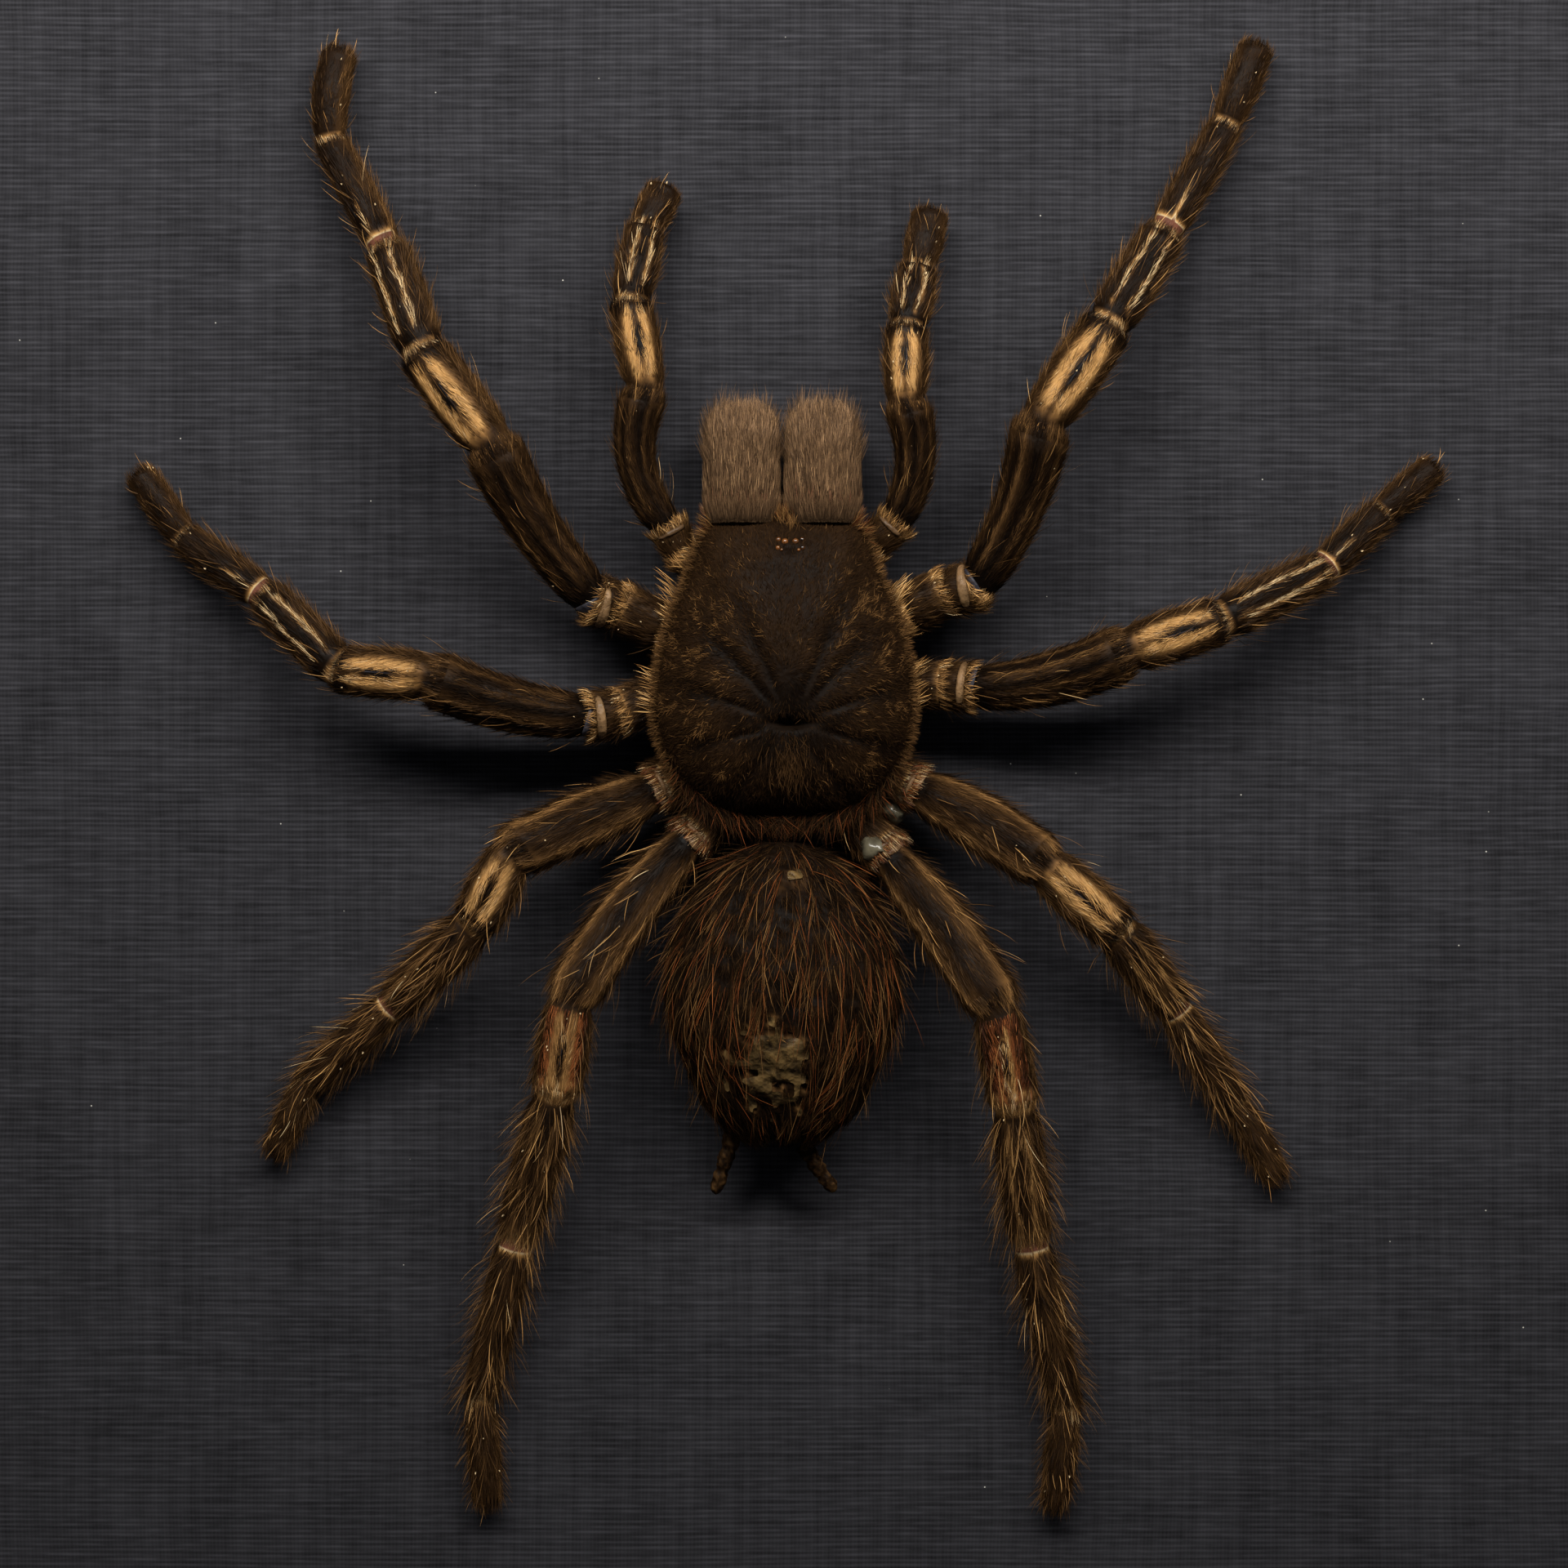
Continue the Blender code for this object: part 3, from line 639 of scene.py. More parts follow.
# %% [markdown]
# ## The limbs' skins
# Each part of a leg is a barrel that is narrow where it starts, under the rim of the part before
# it, and that ends in a rim of its own. The joints' straight lines are softened, so that the rings
# turn gently round a bend.

# %% Limb skins
ROWS_PER_PART = 14
BARREL = (0.0, 0.05, 0.13, 0.5, 0.86, 0.95, 0.985, 1.0)


def limb_rows(plan, kind):
    """Centre, direction and radius of each ring, and how far along the limb it is in parts."""
    joints = np.array(plan["joints"])
    centres, radii, order = [], [], []
    for i, (near, middle, far) in enumerate(THICKNESS[kind]):
        start, end = joints[i], joints[i + 1]
        handle = (start + end) / 2 + 2 * np.array([*plan["bow"].get(i, (0, 0)), 0])
        last = i == len(THICKNESS[kind]) - 1
        neck = far * 0.74 if last else min(far, THICKNESS[kind][i + 1][0]) * 0.74
        first = near * 0.8 if i == 0 else min(near, THICKNESS[kind][i - 1][2]) * 0.74
        tall = (first, near * 0.86, near * 0.95, middle, far * 1.02, far * 1.09, far * 1.0, neck)
        for t in np.linspace(0, 1, ROWS_PER_PART, endpoint=last):
            centres.append(start * (1 - t) ** 2 + handle * 2 * t * (1 - t) + end * t ** 2)
            radii.append(np.interp(t, BARREL, tall))
            order.append(i + min(t, 0.9999))
    centres = np.array(centres)
    along = unit(np.gradient(centres, axis=0))
    for _ in range(3):
        along[1:-1] = unit(along[:-2] + along[1:-1] * 2 + along[2:])
    return centres, along, np.array(radii), np.array(order)


def limb_grid(centres, along, radii):
    """Rings of points round a limb. Column 0 is the right side, a quarter on is the top."""
    across = unit(np.cross(along, (0.0, 0.0, 1.0)))
    up = np.cross(across, along)
    turns = 2 * np.pi * np.arange(COLUMNS) / COLUMNS
    ring = across[:, None] * np.cos(turns)[:, None] + up[:, None] * np.sin(turns)[:, None]
    return centres[:, None] + ring * radii[:, None, None]


# %% [markdown]
# ## The markings of the limbs
# The pattern is the same on every leg, and each part has its own rule: faint lines along the femur,
# two broad straw bands that meet at the ends of the patella, two thin pale lines down the tibia, one
# short line on the metatarsus, and a pale rim at each joint. A rule says the tone at a place, from
# the way along the part and the degrees round from its top. The hind legs' marks are weaker, and
# the patellae of the last pair are rust with a straw band on each side of the slit.

# %% Limb markings


def stripe(turn, centre, width):
    return np.exp(-((turn - centre) / width) ** 2)


def between(t, low, high, soft=0.06):
    return np.clip((t - low) / soft, 0, 1) * np.clip((high - t) / soft, 0, 1)


def lean_to(tone, goal, share):
    return tone + (goal - tone) * np.clip(share, 0, 1)


STRENGTH = {
    ("leg_4_left", "tibia"): 0.25, ("leg_4_left", "metatarsus"): 0.1, ("leg_4_right", "tibia"): 0.6,
    ("leg_3_left", "tibia"): 0.4, ("leg_3_right", "tibia"): 0.7, ("leg_3_left", "patella"): 0.85,
    ("leg_4_left", "patella"): 0.8, ("leg_3_left", "metatarsus"): 0.5, ("leg_2_right", "femur"): 1.3,
    ("leg_4_right", "metatarsus"): 0.4,
}


def part_tone(limb, part, t, turn):
    """The hair's tone at a place on one part of a limb."""
    side = np.abs(turn)
    hind = limb.startswith(("leg_3", "leg_4"))
    strong = STRENGTH.get((limb, part), 1.0)
    tone = 0.20 + 0.15 * np.clip((side - 40) / 40, 0, 1)
    tone = lean_to(tone, 0.13, (side - 105) / 30)
    if part in ("coxa", "trochanter"):
        tone = lean_to(tone, 0.27, 0.8 + 0 * t)
        tone = lean_to(tone, 0.90 if hind else 0.54, np.clip((t - 0.72) / 0.2, 0, 0.8))
    if part == "femur":
        tone = lean_to(tone, 0.21 if hind else 0.18, 0.75 + 0 * t)
        strong = strong * (0.6 if hind else 1.0)
        for centre, weight in ((-52, 0.7), (-20, 0.45), (9, 0.25), (26, 0.8), (58, 0.6)):
            tone = lean_to(tone, 0.46, stripe(turn, centre, 5.5) * weight * strong * between(t, 0.1, 0.97))
        dark = stripe(turn, -3, 9) * 0.8 + stripe(turn, 41, 7) * 0.6
        tone = lean_to(tone, 0.10, dark * (0.45 if hind else 1.0) * between(t, 0, 0.95))
        tone = lean_to(tone, 0.10, (0.14 - t) / 0.08)
        tone = lean_to(tone, 0.45, (t - 0.86) / 0.12 * 0.6 * (side > 18))
        if hind:
            tone = lean_to(tone, 0.90, stripe(side, 48, 14) * 0.35)
    if part == "patella":
        open_by = 13 + 13 * np.sin(np.pi * np.clip(t * 1.02, 0, 1)) ** 0.7
        band = np.maximum(stripe(turn, open_by, 17), stripe(turn, -open_by, 17)) * between(t, 0.03, 0.88, 0.1)
        slit = stripe(turn, 0, 6.5) * between(t, 0.22, 0.86, 0.12)
        tone = lean_to(tone, 0.62, band * 1.7 * strong)
        if limb == "leg_4_right":
            tone = np.where(side < 60, 0.86 + 0.08 * stripe(side, 26, 12), tone)
            tone = np.where(stripe(turn, 12, 7) * between(t, 0.1, 0.8) > 0.45, 0.58, tone)
        elif limb == "leg_4_left":
            tone = np.where(side < 62, 0.87 + 0.10 * stripe(side, 42, 12), tone)
            tone = np.where((np.abs(side - 19) < 12) & (t > 0.08) & (t < 0.84), 0.53, tone)
            tone = np.where((turn > -50) & (turn < 20) & (t > 0.84), 0.70, tone)
        tone = lean_to(tone, 0.10, slit * 0.95)
        tone = lean_to(tone, 0.13, (t - 0.84) / 0.05 * (side > 12))
    if part == "tibia":
        open_by = 12 + 13 * np.sin(np.pi * np.clip(0.15 + 0.7 * t, 0, 1))
        line = np.maximum(stripe(turn, open_by, 5), stripe(turn, -open_by, 5)) * between(t, 0.07, 0.93)
        tone = lean_to(tone, 0.11, stripe(turn, 0, 14) * 0.55)
        tone = lean_to(tone, 0.70, line * 1.6 * strong)
        tone = lean_to(tone, 0.10, (0.1 - t) / 0.05)
    if part == "metatarsus":
        line = stripe(turn, 2, 5) * between(t, -0.1, 0.42, 0.25)
        tone = lean_to(tone, 0.14, stripe(turn, 0, 22) * 0.5)
        tone = lean_to(tone, 0.68, line * 1.5 * strong)
    if part == "tarsus":
        tone = lean_to(tone, 0.33, (side - 30) / 40)
    if part in ("tibia", "metatarsus", "tarsus") and hind:
        tone = lean_to(tone, 0.37, 0.35 + 0 * t)
    if limb.startswith("leg_4") and part in ("patella", "tibia"):
        tone = lean_to(tone, 0.45, (t - 0.85) / 0.04 * 0.8)
    if part in ("patella", "tibia", "metatarsus"):
        tone = lean_to(tone, 0.67, (t - 0.945) / 0.02 * np.clip((75 - side) / 25, 0, 0.9))
    return tone


def limb_tone(name, order, turn):
    kind = name.rsplit("_", 1)[0]
    tone = np.zeros(len(order))
    for i, part in enumerate(PARTS[kind]):
        here = order.astype(int) == i
        tone[here] = part_tone(name, part, order[here] - i, turn[here])
    return tone


on_top = part_tone("leg_1_left", "patella", np.full(3, 0.5), np.array([0.0, 20.0, 60.0]))
print("tones across a patella, from its top round:", on_top.round(2).tolist())

# %% [markdown]
# ## The limbs' hair
# Four coats grow on each limb, as on the animal: a short dense one that lies flat and carries the
# pattern, a looser fringe down both sides, a tuft round the rim of each part, and long single
# bristles. Neighbouring hairs lean the same way and have nearly the same tone, which gives locks and
# streaks. The hind legs are shaggier than the front ones, and their hips carry long rust tufts.

# %% Build the limbs
SHAGGY = {"palp": 0.85, "leg_1": 0.95, "leg_2": 1.0, "leg_3": 1.35, "leg_4": 1.5}
# Bare plates: where along the limb in parts, tone, width in rows, and half their sweep in degrees.
PLATES = {
    "palp": ((1.95, 0.50, 1.0, 50),),
    "leg_1": ((2.72, 0.58, 2.2, 60), (3.02, 0.03, 0.5, 50)),
    "leg_2": ((1.03, 0.70, 1.6, 44), (2.76, 0.58, 2.0, 60), (3.03, 0.03, 0.5, 50)),
    "leg_3": ((0.98, 0.54, 1.0, 40),),
    "leg_4": ((0.98, 0.54, 0.9, 40),),
}


PLATE_ROWS, PLATE_COLUMNS = 7, 17


def round_turn(degrees):
    return (degrees + 180) % 360 - 180


def plate_points(grid, order, at, wide, half_turn, centre_column):
    """A small crescent of bare, hard skin that stands proud of a limb at a joint."""
    rows, columns = grid.shape[:2]
    sweep = np.linspace(-1, 1, PLATE_COLUMNS)
    band = np.linspace(-1, 1, PLATE_ROWS)
    column = centre_column + sweep * half_turn / 360 * columns
    middle = np.interp(at, order, np.arange(rows))
    row = middle + band[:, None] * wide * np.sqrt(1 - sweep ** 2 * 0.96)[None, :] + 0.35 * sweep[None, :]
    column = np.broadcast_to(column, row.shape)
    flat = at_places(grid, row.ravel(), column.ravel()).reshape(*row.shape, 3)
    outward = unit(at_places(directions(grid)[0], row.ravel(), column.ravel())).reshape(*row.shape, 3)
    bulge = (0.05 + 0.13 * (1 - band[:, None] ** 2)) * np.sqrt(1.02 - sweep ** 2)[None, :]
    return flat + outward * bulge[:, :, None]


def build_limb(name, plan, seed):
    kind = name.rsplit("_", 1)[0]
    hind = kind in ("leg_3", "leg_4")
    names = PARTS[kind]
    rng = np.random.default_rng(seed)
    centres, along, radii, order = limb_rows(plan, kind)
    grid = limb_grid(centres, along, radii)
    rows, columns = grid.shape[:2]
    column_turn = round_turn(360 * np.arange(columns) / columns - 90 - plan["roll"])
    all_orders = np.repeat(order, columns)
    all_turns = np.tile(column_turn, rows)
    patella = names.index("patella")
    tibia = names.index("tibia")

    def blue_slit(where, turn):
        """Bare blue-grey skin between the bands of the patella."""
        return (where.astype(int) == patella) * stripe(turn, 0, 9) * between(where - patella, 0.3, 0.72)

    def soft_joint(where, turn):
        """Bare pink skin on top of the joints beyond the patella."""
        share = where - where.astype(int)
        beyond = (where.astype(int) >= tibia) * (1 - 0.4 * (where.astype(int) == tibia))
        return beyond * np.clip((0.09 - share) / 0.03, 0, 1) * (np.abs(turn) < 75)

    spots = PLATES[kind]

    def on_plate(where, turn):
        """1 where a bare plate lies over a joint near the body."""
        reach = 0.075 * np.sqrt(np.clip(1 - (turn / 60) ** 2, 0, 1))
        return sum(np.abs(where - at) < reach * wide for at, shade, wide, half_turn in spots) * 0.9

    skin = limb_tone(name, all_orders, all_turns)
    # Rust and white are hair colours only. Under them the skin stays brown.
    skin = np.where((skin > 0.8) | (skin == 0.70), 0.22, skin)
    skin = lean_to(skin, 0.01, blue_slit(all_orders, all_turns) * 1.3)
    skin = np.where(soft_joint(all_orders, all_turns) > 0.5, 0.79, skin)
    keep_piece(name + "_skin", skin_mesh(name + "_skin", grid, skin.reshape(rows, columns)),
               LIMB_SKIN, name)

    outward, flow = directions(grid)
    shaggy = SHAGGY[kind]
    top = np.clip(1.25 - np.abs(column_turn) / 160, 0.3, 1)
    streaks = drawn_out(rng, (rows, columns))
    locks = rng.normal(0, 1, (rows, columns))
    coat = Coat(rng)

    def places(row, column):
        """Root, outward way, flow, way along and turn of some places on this limb."""
        where = np.interp(row, np.arange(rows), order)
        turn = round_turn(360 * column / columns - 90 - plan["roll"])
        return (at_places(grid, row, column), unit(at_places(outward, row, column)),
                unit(at_places(flow, row, column)), where, turn)

    # The flat coat that carries the pattern.
    row, column = scatter(grid, 50, np.tile(top, (rows, 1)), rng)
    root, out, way, where, turn = places(row, column)
    tone = limb_tone(name, where, turn + rng.normal(0, 1.5, len(row)))
    dark = np.clip((0.6 - tone) / 0.3, 0.25, 1)
    tone = tone + dark * (0.045 * at_places(streaks, row, column) + rng.normal(0, 0.025, len(row)))
    tone = np.where(rng.random(len(row)) < 0.06, tone + 0.12, tone)
    bare = np.maximum(blue_slit(where, turn) * 0.8, soft_joint(where, turn) * 0.85)
    keep = rng.random(len(row)) > np.maximum(bare, on_plate(where, turn))
    part = where.astype(int)
    short = np.where(part == len(names) - 1, 0.7, 1.0) * np.where(part == patella, 0.85, 1.0)
    loose = np.where(part >= tibia, shaggy, 0.9 + 0.15 * hind)
    length = rng.uniform(0.9, 1.7, len(row)) * (1 + 0.7 * (loose - 1)) * short
    fan = np.where(part == patella, 0.012 * np.clip(turn, -45, 45), 0.0)
    lean = fan + 0.13 * loose * at_places(locks, row, column)
    coat.grow(root[keep], out[keep], way[keep], length[keep], tone[keep], lift=12.5 * loose[keep],
              sway=0.10, width=0.055, steps=1, lean=lean[keep])

    # The looser fringe down both sides.
    sides = np.exp(-((np.abs(column_turn) - 88) / 34) ** 2)
    share = order - order.astype(int)
    stem = 1.0 - 0.7 * (share < 0.08)
    row, column = scatter(grid, 13.0, sides[None, :] * stem[:, None], rng)
    root, out, way, where, turn = places(row, column)
    loose = np.where(where.astype(int) >= tibia, shaggy, 0.8 + 0.15 * hind)
    reach = np.where(where.astype(int) == len(names) - 1, 0.6, 1.0)
    length = rng.uniform(1.0, 2.4, len(row)) * loose * reach
    tone = np.where(where.astype(int) < patella, 0.30, 0.36)
    tone = tone + 0.03 * at_places(streaks, row, column) + rng.normal(0, 0.045, len(row))
    coat.grow(root, out, way, length, tone, lift=30 * loose, curl=0.45, sway=0.22, width=0.048, steps=2,
              lean=0.15 * at_places(locks, row, column))

    # A tuft round the rim of each part, in little locks.
    for i in range(1, len(names)):
        part = names[i - 1]
        hip = part in ("coxa", "trochanter")
        count = 900 if hip else 260
        at_row = np.interp(i - rng.uniform(0.01, 0.34 if hip else 0.05, count) ** (1.5 if hip else 1), order,
                           np.arange(rows))
        column = rng.uniform(0, columns, count)
        root, out, way, where, turn = places(at_row, column)
        pale = {"patella": 0.66, "tibia": 0.64, "metatarsus": 0.66, "femur": 0.47}.get(part, 0.50)
        if hip and hind:
            pale = 0.90
        spread = 0.03 if hip and hind else 0.09 if hip else 0.05
        tone = np.where(np.abs(turn) < 85, pale, 0.34) + rng.normal(0, spread, count)
        tone = np.where(rng.random(count) < 0.5 * (hip and hind), rng.uniform(0.22, 0.44, count), tone)
        size = rng.uniform(0.8, 1.7, count) if hip else rng.uniform(0.3, 0.6, count)
        coat.grow(root, out, way, size, tone, lift=24 if hip else 8, curl=1.2, width=0.07,
                  sway=0.25 if hip else 0.12, lean=0.5 * at_places(locks, at_row, column) * hip)

    # Long single bristles.
    bristles = np.array([0.15 if part in ("coxa", "trochanter") else 1.0 for part in names])
    if hind:
        bristles[-3:] = (5.0, 5.0, 2.0)
    weight = bristles[order.astype(int)][:, None] * np.clip(1.1 - np.abs(column_turn) / 150, 0.1, 1)
    row, column = scatter(grid, 0.45, weight, rng)
    root, out, way, where, turn = places(row, column)
    reach = np.where(where.astype(int) == len(names) - 1, 0.6, 1.0)
    length = rng.uniform(1.8, 3.4, len(row)) * (1 + 0.5 * (shaggy - 1)) * reach
    coat.grow(root, out, way, length, 0.47 + rng.normal(0, 0.09, len(row)), lift=36, curl=0.65, sway=0.25,
              width=0.055, steps=4, lean=0.2 * at_places(locks, row, column))

    # Crumbs of pale dust caught in the hair.
    count = 14
    row = rng.uniform(20, rows - 2, count)
    root, out, way, where, turn = places(row, rng.uniform(0.1, 0.4, count) * columns)
    coat.grow(root + out * 0.3, out, way, rng.uniform(0.12, 0.25, count), 0.72, lift=50, width=0.12)
    keep_piece(name + "_hair", coat.mesh(name + "_hair"), LIMB_HAIR, None)

    # Bare plates on the joints next to the body.
    top_column = (90 + plan["roll"]) / 360 * columns
    points, shades, faces = [], [], []
    for at, tone, wide, half_turn in spots:
        shell = plate_points(grid, order, at, wide, half_turn, top_column + 0.8)
        first = len(points) * PLATE_ROWS * PLATE_COLUMNS
        points.append(shell.reshape(-1, 3))
        fading = np.linspace(tone, tone - 0.06, PLATE_COLUMNS)
        shades.append(np.broadcast_to(fading, (PLATE_ROWS, PLATE_COLUMNS)).ravel())
        for i in range(PLATE_ROWS - 1):
            for j in range(PLATE_COLUMNS - 1):
                low = first + PLATE_COLUMNS * i + j
                high = low + PLATE_COLUMNS
                faces.append((low, low + 1, high + 1, high))
    mesh = bpy.data.meshes.new(name + "_plates")
    mesh.from_pydata(lay_out(np.concatenate(points)).tolist(), [], faces)
    layer = mesh.attributes.new("tone", "FLOAT", "POINT")
    layer.data.foreach_set("value", np.concatenate(shades).astype(np.float32))
    mesh.shade_smooth()
    plate = keep_piece(name + "_plates", mesh, PLATE_SKIN, None)
    thick = plate.modifiers.new("thickness", "SOLIDIFY")
    thick.thickness = 0.00012


for number, (name, plan) in enumerate(LIMBS.items()):
    build_limb(name, plan, 100 + number)

# %% [markdown]
# ## The carapace
# The shield over the front body is a low dome. Its outline is a smooth curve through a few points,
# and its height falls away from the middle by a formula. On top of that come the pit in its middle,
# the furrows that run out from the pit to each leg, and the small mound that carries the eyes.

# %% Carapace skin
OUTLINE = (
    (0.0, -2.4), (4.6, -2.1), (8.1, 0.3), (10.1, 4.4), (10.0, 9.0),
    (9.0, 13.2), (7.4, 17.2), (6.3, 20.1), (4.7, 21.0), (0.0, 21.2),
)
CENTRE = np.array([0.1, 8.6])
PIT = np.array([0.5, 4.9])
EYE_MOUND = np.array([0.5, 19.1])
RIM_HEIGHT = 7.2
DOME = 5.8
DOME_ROWS = 64
DOME_COLUMNS = 168


def smooth_curve(points, steps):
    """Points on a smooth curve (Catmull-Rom) through a few given ones."""
    points = np.array(points, float)
    padded = np.concatenate([[2 * points[0] - points[1]], points, [2 * points[-1] - points[-2]]])
    t = (np.arange(steps) / steps)[:, None]
    curve = []
    for a, b, c, d in zip(padded, padded[1:], padded[2:], padded[3:]):
        curve.append(0.5 * (2 * b + (c - a) * t + (2 * a - 5 * b + 4 * c - d) * t ** 2
                            + (3 * b - a - 3 * c + d) * t ** 3))
    return np.concatenate([*curve, points[-1:]])


half = smooth_curve(OUTLINE, 8)
whole = np.concatenate([half, half[-2:0:-1] * (-1, 1)])
edge_angle = np.arctan2(whole[:, 1] - CENTRE[1], whole[:, 0] - CENTRE[0])
edge_reach = np.hypot(whole[:, 0] - CENTRE[0], whole[:, 1] - CENTRE[1])
by_angle = np.argsort(edge_angle)
edge_angle, edge_reach = edge_angle[by_angle], edge_reach[by_angle]


def furrows(x, y):
    """How deep in a furrow a place is, from 0 to 1. They run out from the pit like spokes."""
    angle = np.arctan2(y - PIT[1], np.abs(x - PIT[0]))
    reach = np.hypot(x - PIT[0], y - PIT[1])
    deep = np.zeros(np.shape(x))
    for degrees, width in ((-52, 5), (-14, 5), (18, 5), (47, 6), (66, 5)):
        deep = np.maximum(deep, np.exp(-((angle - math.radians(degrees)) / math.radians(width)) ** 2))
    return deep * np.clip((reach - 1.5) / 2, 0, 1) * np.clip((11.5 - reach) / 4, 0, 1)


def dome_height(x, y, share):
    height = RIM_HEIGHT + DOME * np.clip(1 - share ** 2.6, 0, 1) ** 0.6
    height = height - 0.30 * furrows(x, y)
    height = height - 1.5 * np.exp(-((x - PIT[0]) / 1.5) ** 2 - ((y - PIT[1]) / 0.42) ** 2)
    height = height - 0.5 * np.exp(-((x - PIT[0]) / 3.0) ** 2 - ((y - PIT[1]) / 2.2) ** 2)
    height = height + 0.75 * np.exp(-((x - EYE_MOUND[0]) / 1.3) ** 2 - ((y - EYE_MOUND[1]) / 0.8) ** 2)
    height = height + 0.9 * np.exp(-((y - 21.5) / 1.8) ** 2) * np.clip((7.0 - np.abs(x)) / 1.5, 0, 1)
    return height + 0.25 * np.exp(-((x - 0.4) / 4.0) ** 2 - ((y - 13.5) / 4.5) ** 2)


def row_shares(rows):
    """How far out from the middle each row lies, closer together towards the rim."""
    return np.sin(np.linspace(0.02, np.pi / 2, rows))[:, None]


def carapace_grid(rows, columns):
    """Row 0 is the middle of the dome, and the last row is its rim."""
    share = row_shares(rows)
    angle = (2 * np.pi * np.arange(columns) / columns - np.pi)[None, :]
    reach = np.interp(angle, edge_angle, edge_reach, period=2 * np.pi)
    x = CENTRE[0] + reach * share * np.cos(angle)
    y = CENTRE[1] + reach * share * np.sin(angle)
    return np.stack([x, y, dome_height(x, y, share + 0 * x)], axis=-1)


def carapace_tone(x, y, share):
    """Nearly black in the furrows, golden brown between them, plain brown over the bare head."""
    reach = np.hypot(x - PIT[0], y - PIT[1])
    ridge = (1 - furrows(x, y)) * np.clip((reach - 2.5) / 3, 0, 1) * np.clip((y + 4) / 6, 0, 1)
    tone = 0.14 + 0.09 * ridge
    head = np.exp(-((x - 0.6) / 3.2) ** 2 - ((y - 16.6) / 3.6) ** 2)
    tone = lean_to(tone, 0.19, head)
    tone = np.where((share > 0.96) & (y < 3), 0.20, tone)
    return tone


dome = carapace_grid(DOME_ROWS, DOME_COLUMNS)
outline = dome[-1]
under = []
for inset, height in ((1.0, 6.9), (0.965, 6.62), (0.8, 6.6), (0.2, 6.6)):
    ring = CENTRE + (outline[:, :2] - CENTRE) * inset
    under.append(np.concatenate([ring, np.full((len(outline), 1), height)], axis=1))
whole_shell = np.concatenate([dome, np.array(under)])
share = row_shares(DOME_ROWS) + 0 * dome[:, :, 0]
shell_tone = np.concatenate([carapace_tone(dome[:, :, 0], dome[:, :, 1], share),
                             np.full((4, dome.shape[1]), 0.16)])
keep_piece("carapace_skin", skin_mesh("carapace_skin", whole_shell[:, ::-1], shell_tone[:, ::-1]), BODY_SKIN,
           "carapace")

print("carapace:", whole_shell.shape[0], "rows,", round(float(dome[:, :, 2].max()), 1), "mm above the cloth")

# %% [markdown]
# ## The carapace's velvet
# The dome wears a short nap, golden on the ridges and black in the furrows, and it is thin over the
# head. A fringe of tan hairs stands out round the rim, and it turns brown and long at the back.

# %% Carapace hair
rng = np.random.default_rng(7)
outward, flow = directions(dome)
outward = outward * np.sign(outward[:, :, 2:3] + 1e-9)
coat = Coat(rng)
dome_x, dome_y = dome[:, :, 0], dome[:, :, 1]
bare_head = np.exp(-((dome_x - 0.6) / 3.0) ** 2 - ((dome_y - 16.8) / 3.4) ** 2)
bare_pit = np.exp(-((dome_x - PIT[0]) / 1.7) ** 4 - ((dome_y - PIT[1]) / 0.5) ** 4)
locks = drawn_out(rng, dome.shape[:2])


def on_dome(row, column, spread):
    """Root, outward way and a slightly scattered downhill way at some places on the dome."""
    root = at_places(dome, row, column)
    out = unit(at_places(outward, row, column))
    down = unit(at_places(flow, row, column))
    spin = (rng.normal(0, spread, len(row)) + spread * at_places(locks, row, column))[:, None]
    return root, out, unit(down + unit(np.cross(out, down)) * spin)


# The nap, dark with a little brown in it.
row, column = scatter(dome, 95, (1 - 0.55 * bare_head) * (1 - bare_pit), rng)
root, out, way = on_dome(row, column, 0.35)
tone = carapace_tone(root[:, 0], root[:, 1], at_places(share, row, column)) + rng.normal(0, 0.03, len(row))
patchy = np.array([noise.noise((x * 0.45, y * 0.45, 3.0)) for x, y, z in root])
tone = np.where(rng.random(len(row)) < 0.25 + 0.6 * patchy, rng.uniform(0.2, 0.31, len(row)), tone - 0.02)
coat.grow(root, out, way, rng.uniform(0.35, 0.8, len(row)), tone, lift=26, width=0.055, steps=1)

# Golden hairs in little locks on the ridges between the furrows.
reach = np.hypot(dome_x - PIT[0], dome_y - PIT[1])
ridge = (1 - furrows(dome_x, dome_y)) * np.clip((reach - 3) / 3, 0, 1) * np.clip((dome_y + 1) / 2, 0, 1)
clumps = np.array([[noise.fractal((x * 0.55, y * 0.55, 9.0), 0.8, 2.0, 3) for x, y, z in line]
                   for line in dome])
ridge = ridge * (1 - bare_head) * np.clip(locks * 0.7 + 0.2, 0, 1.6) * np.clip(0.45 + 2.4 * clumps, 0.05, 1.8)
ridge = ridge * np.clip((18.5 - dome_y) / 4, 0.06, 1) * np.clip(np.abs(dome_x) / 4, 0.3, 1)
row, column = scatter(dome, 60, ridge, rng)
root, out, way = on_dome(row, column, 0.55)
coat.grow(root, out, way, rng.uniform(0.4, 1.0, len(row)), rng.uniform(0.31, 0.50, len(row)), lift=20,
          width=0.065, steps=1)

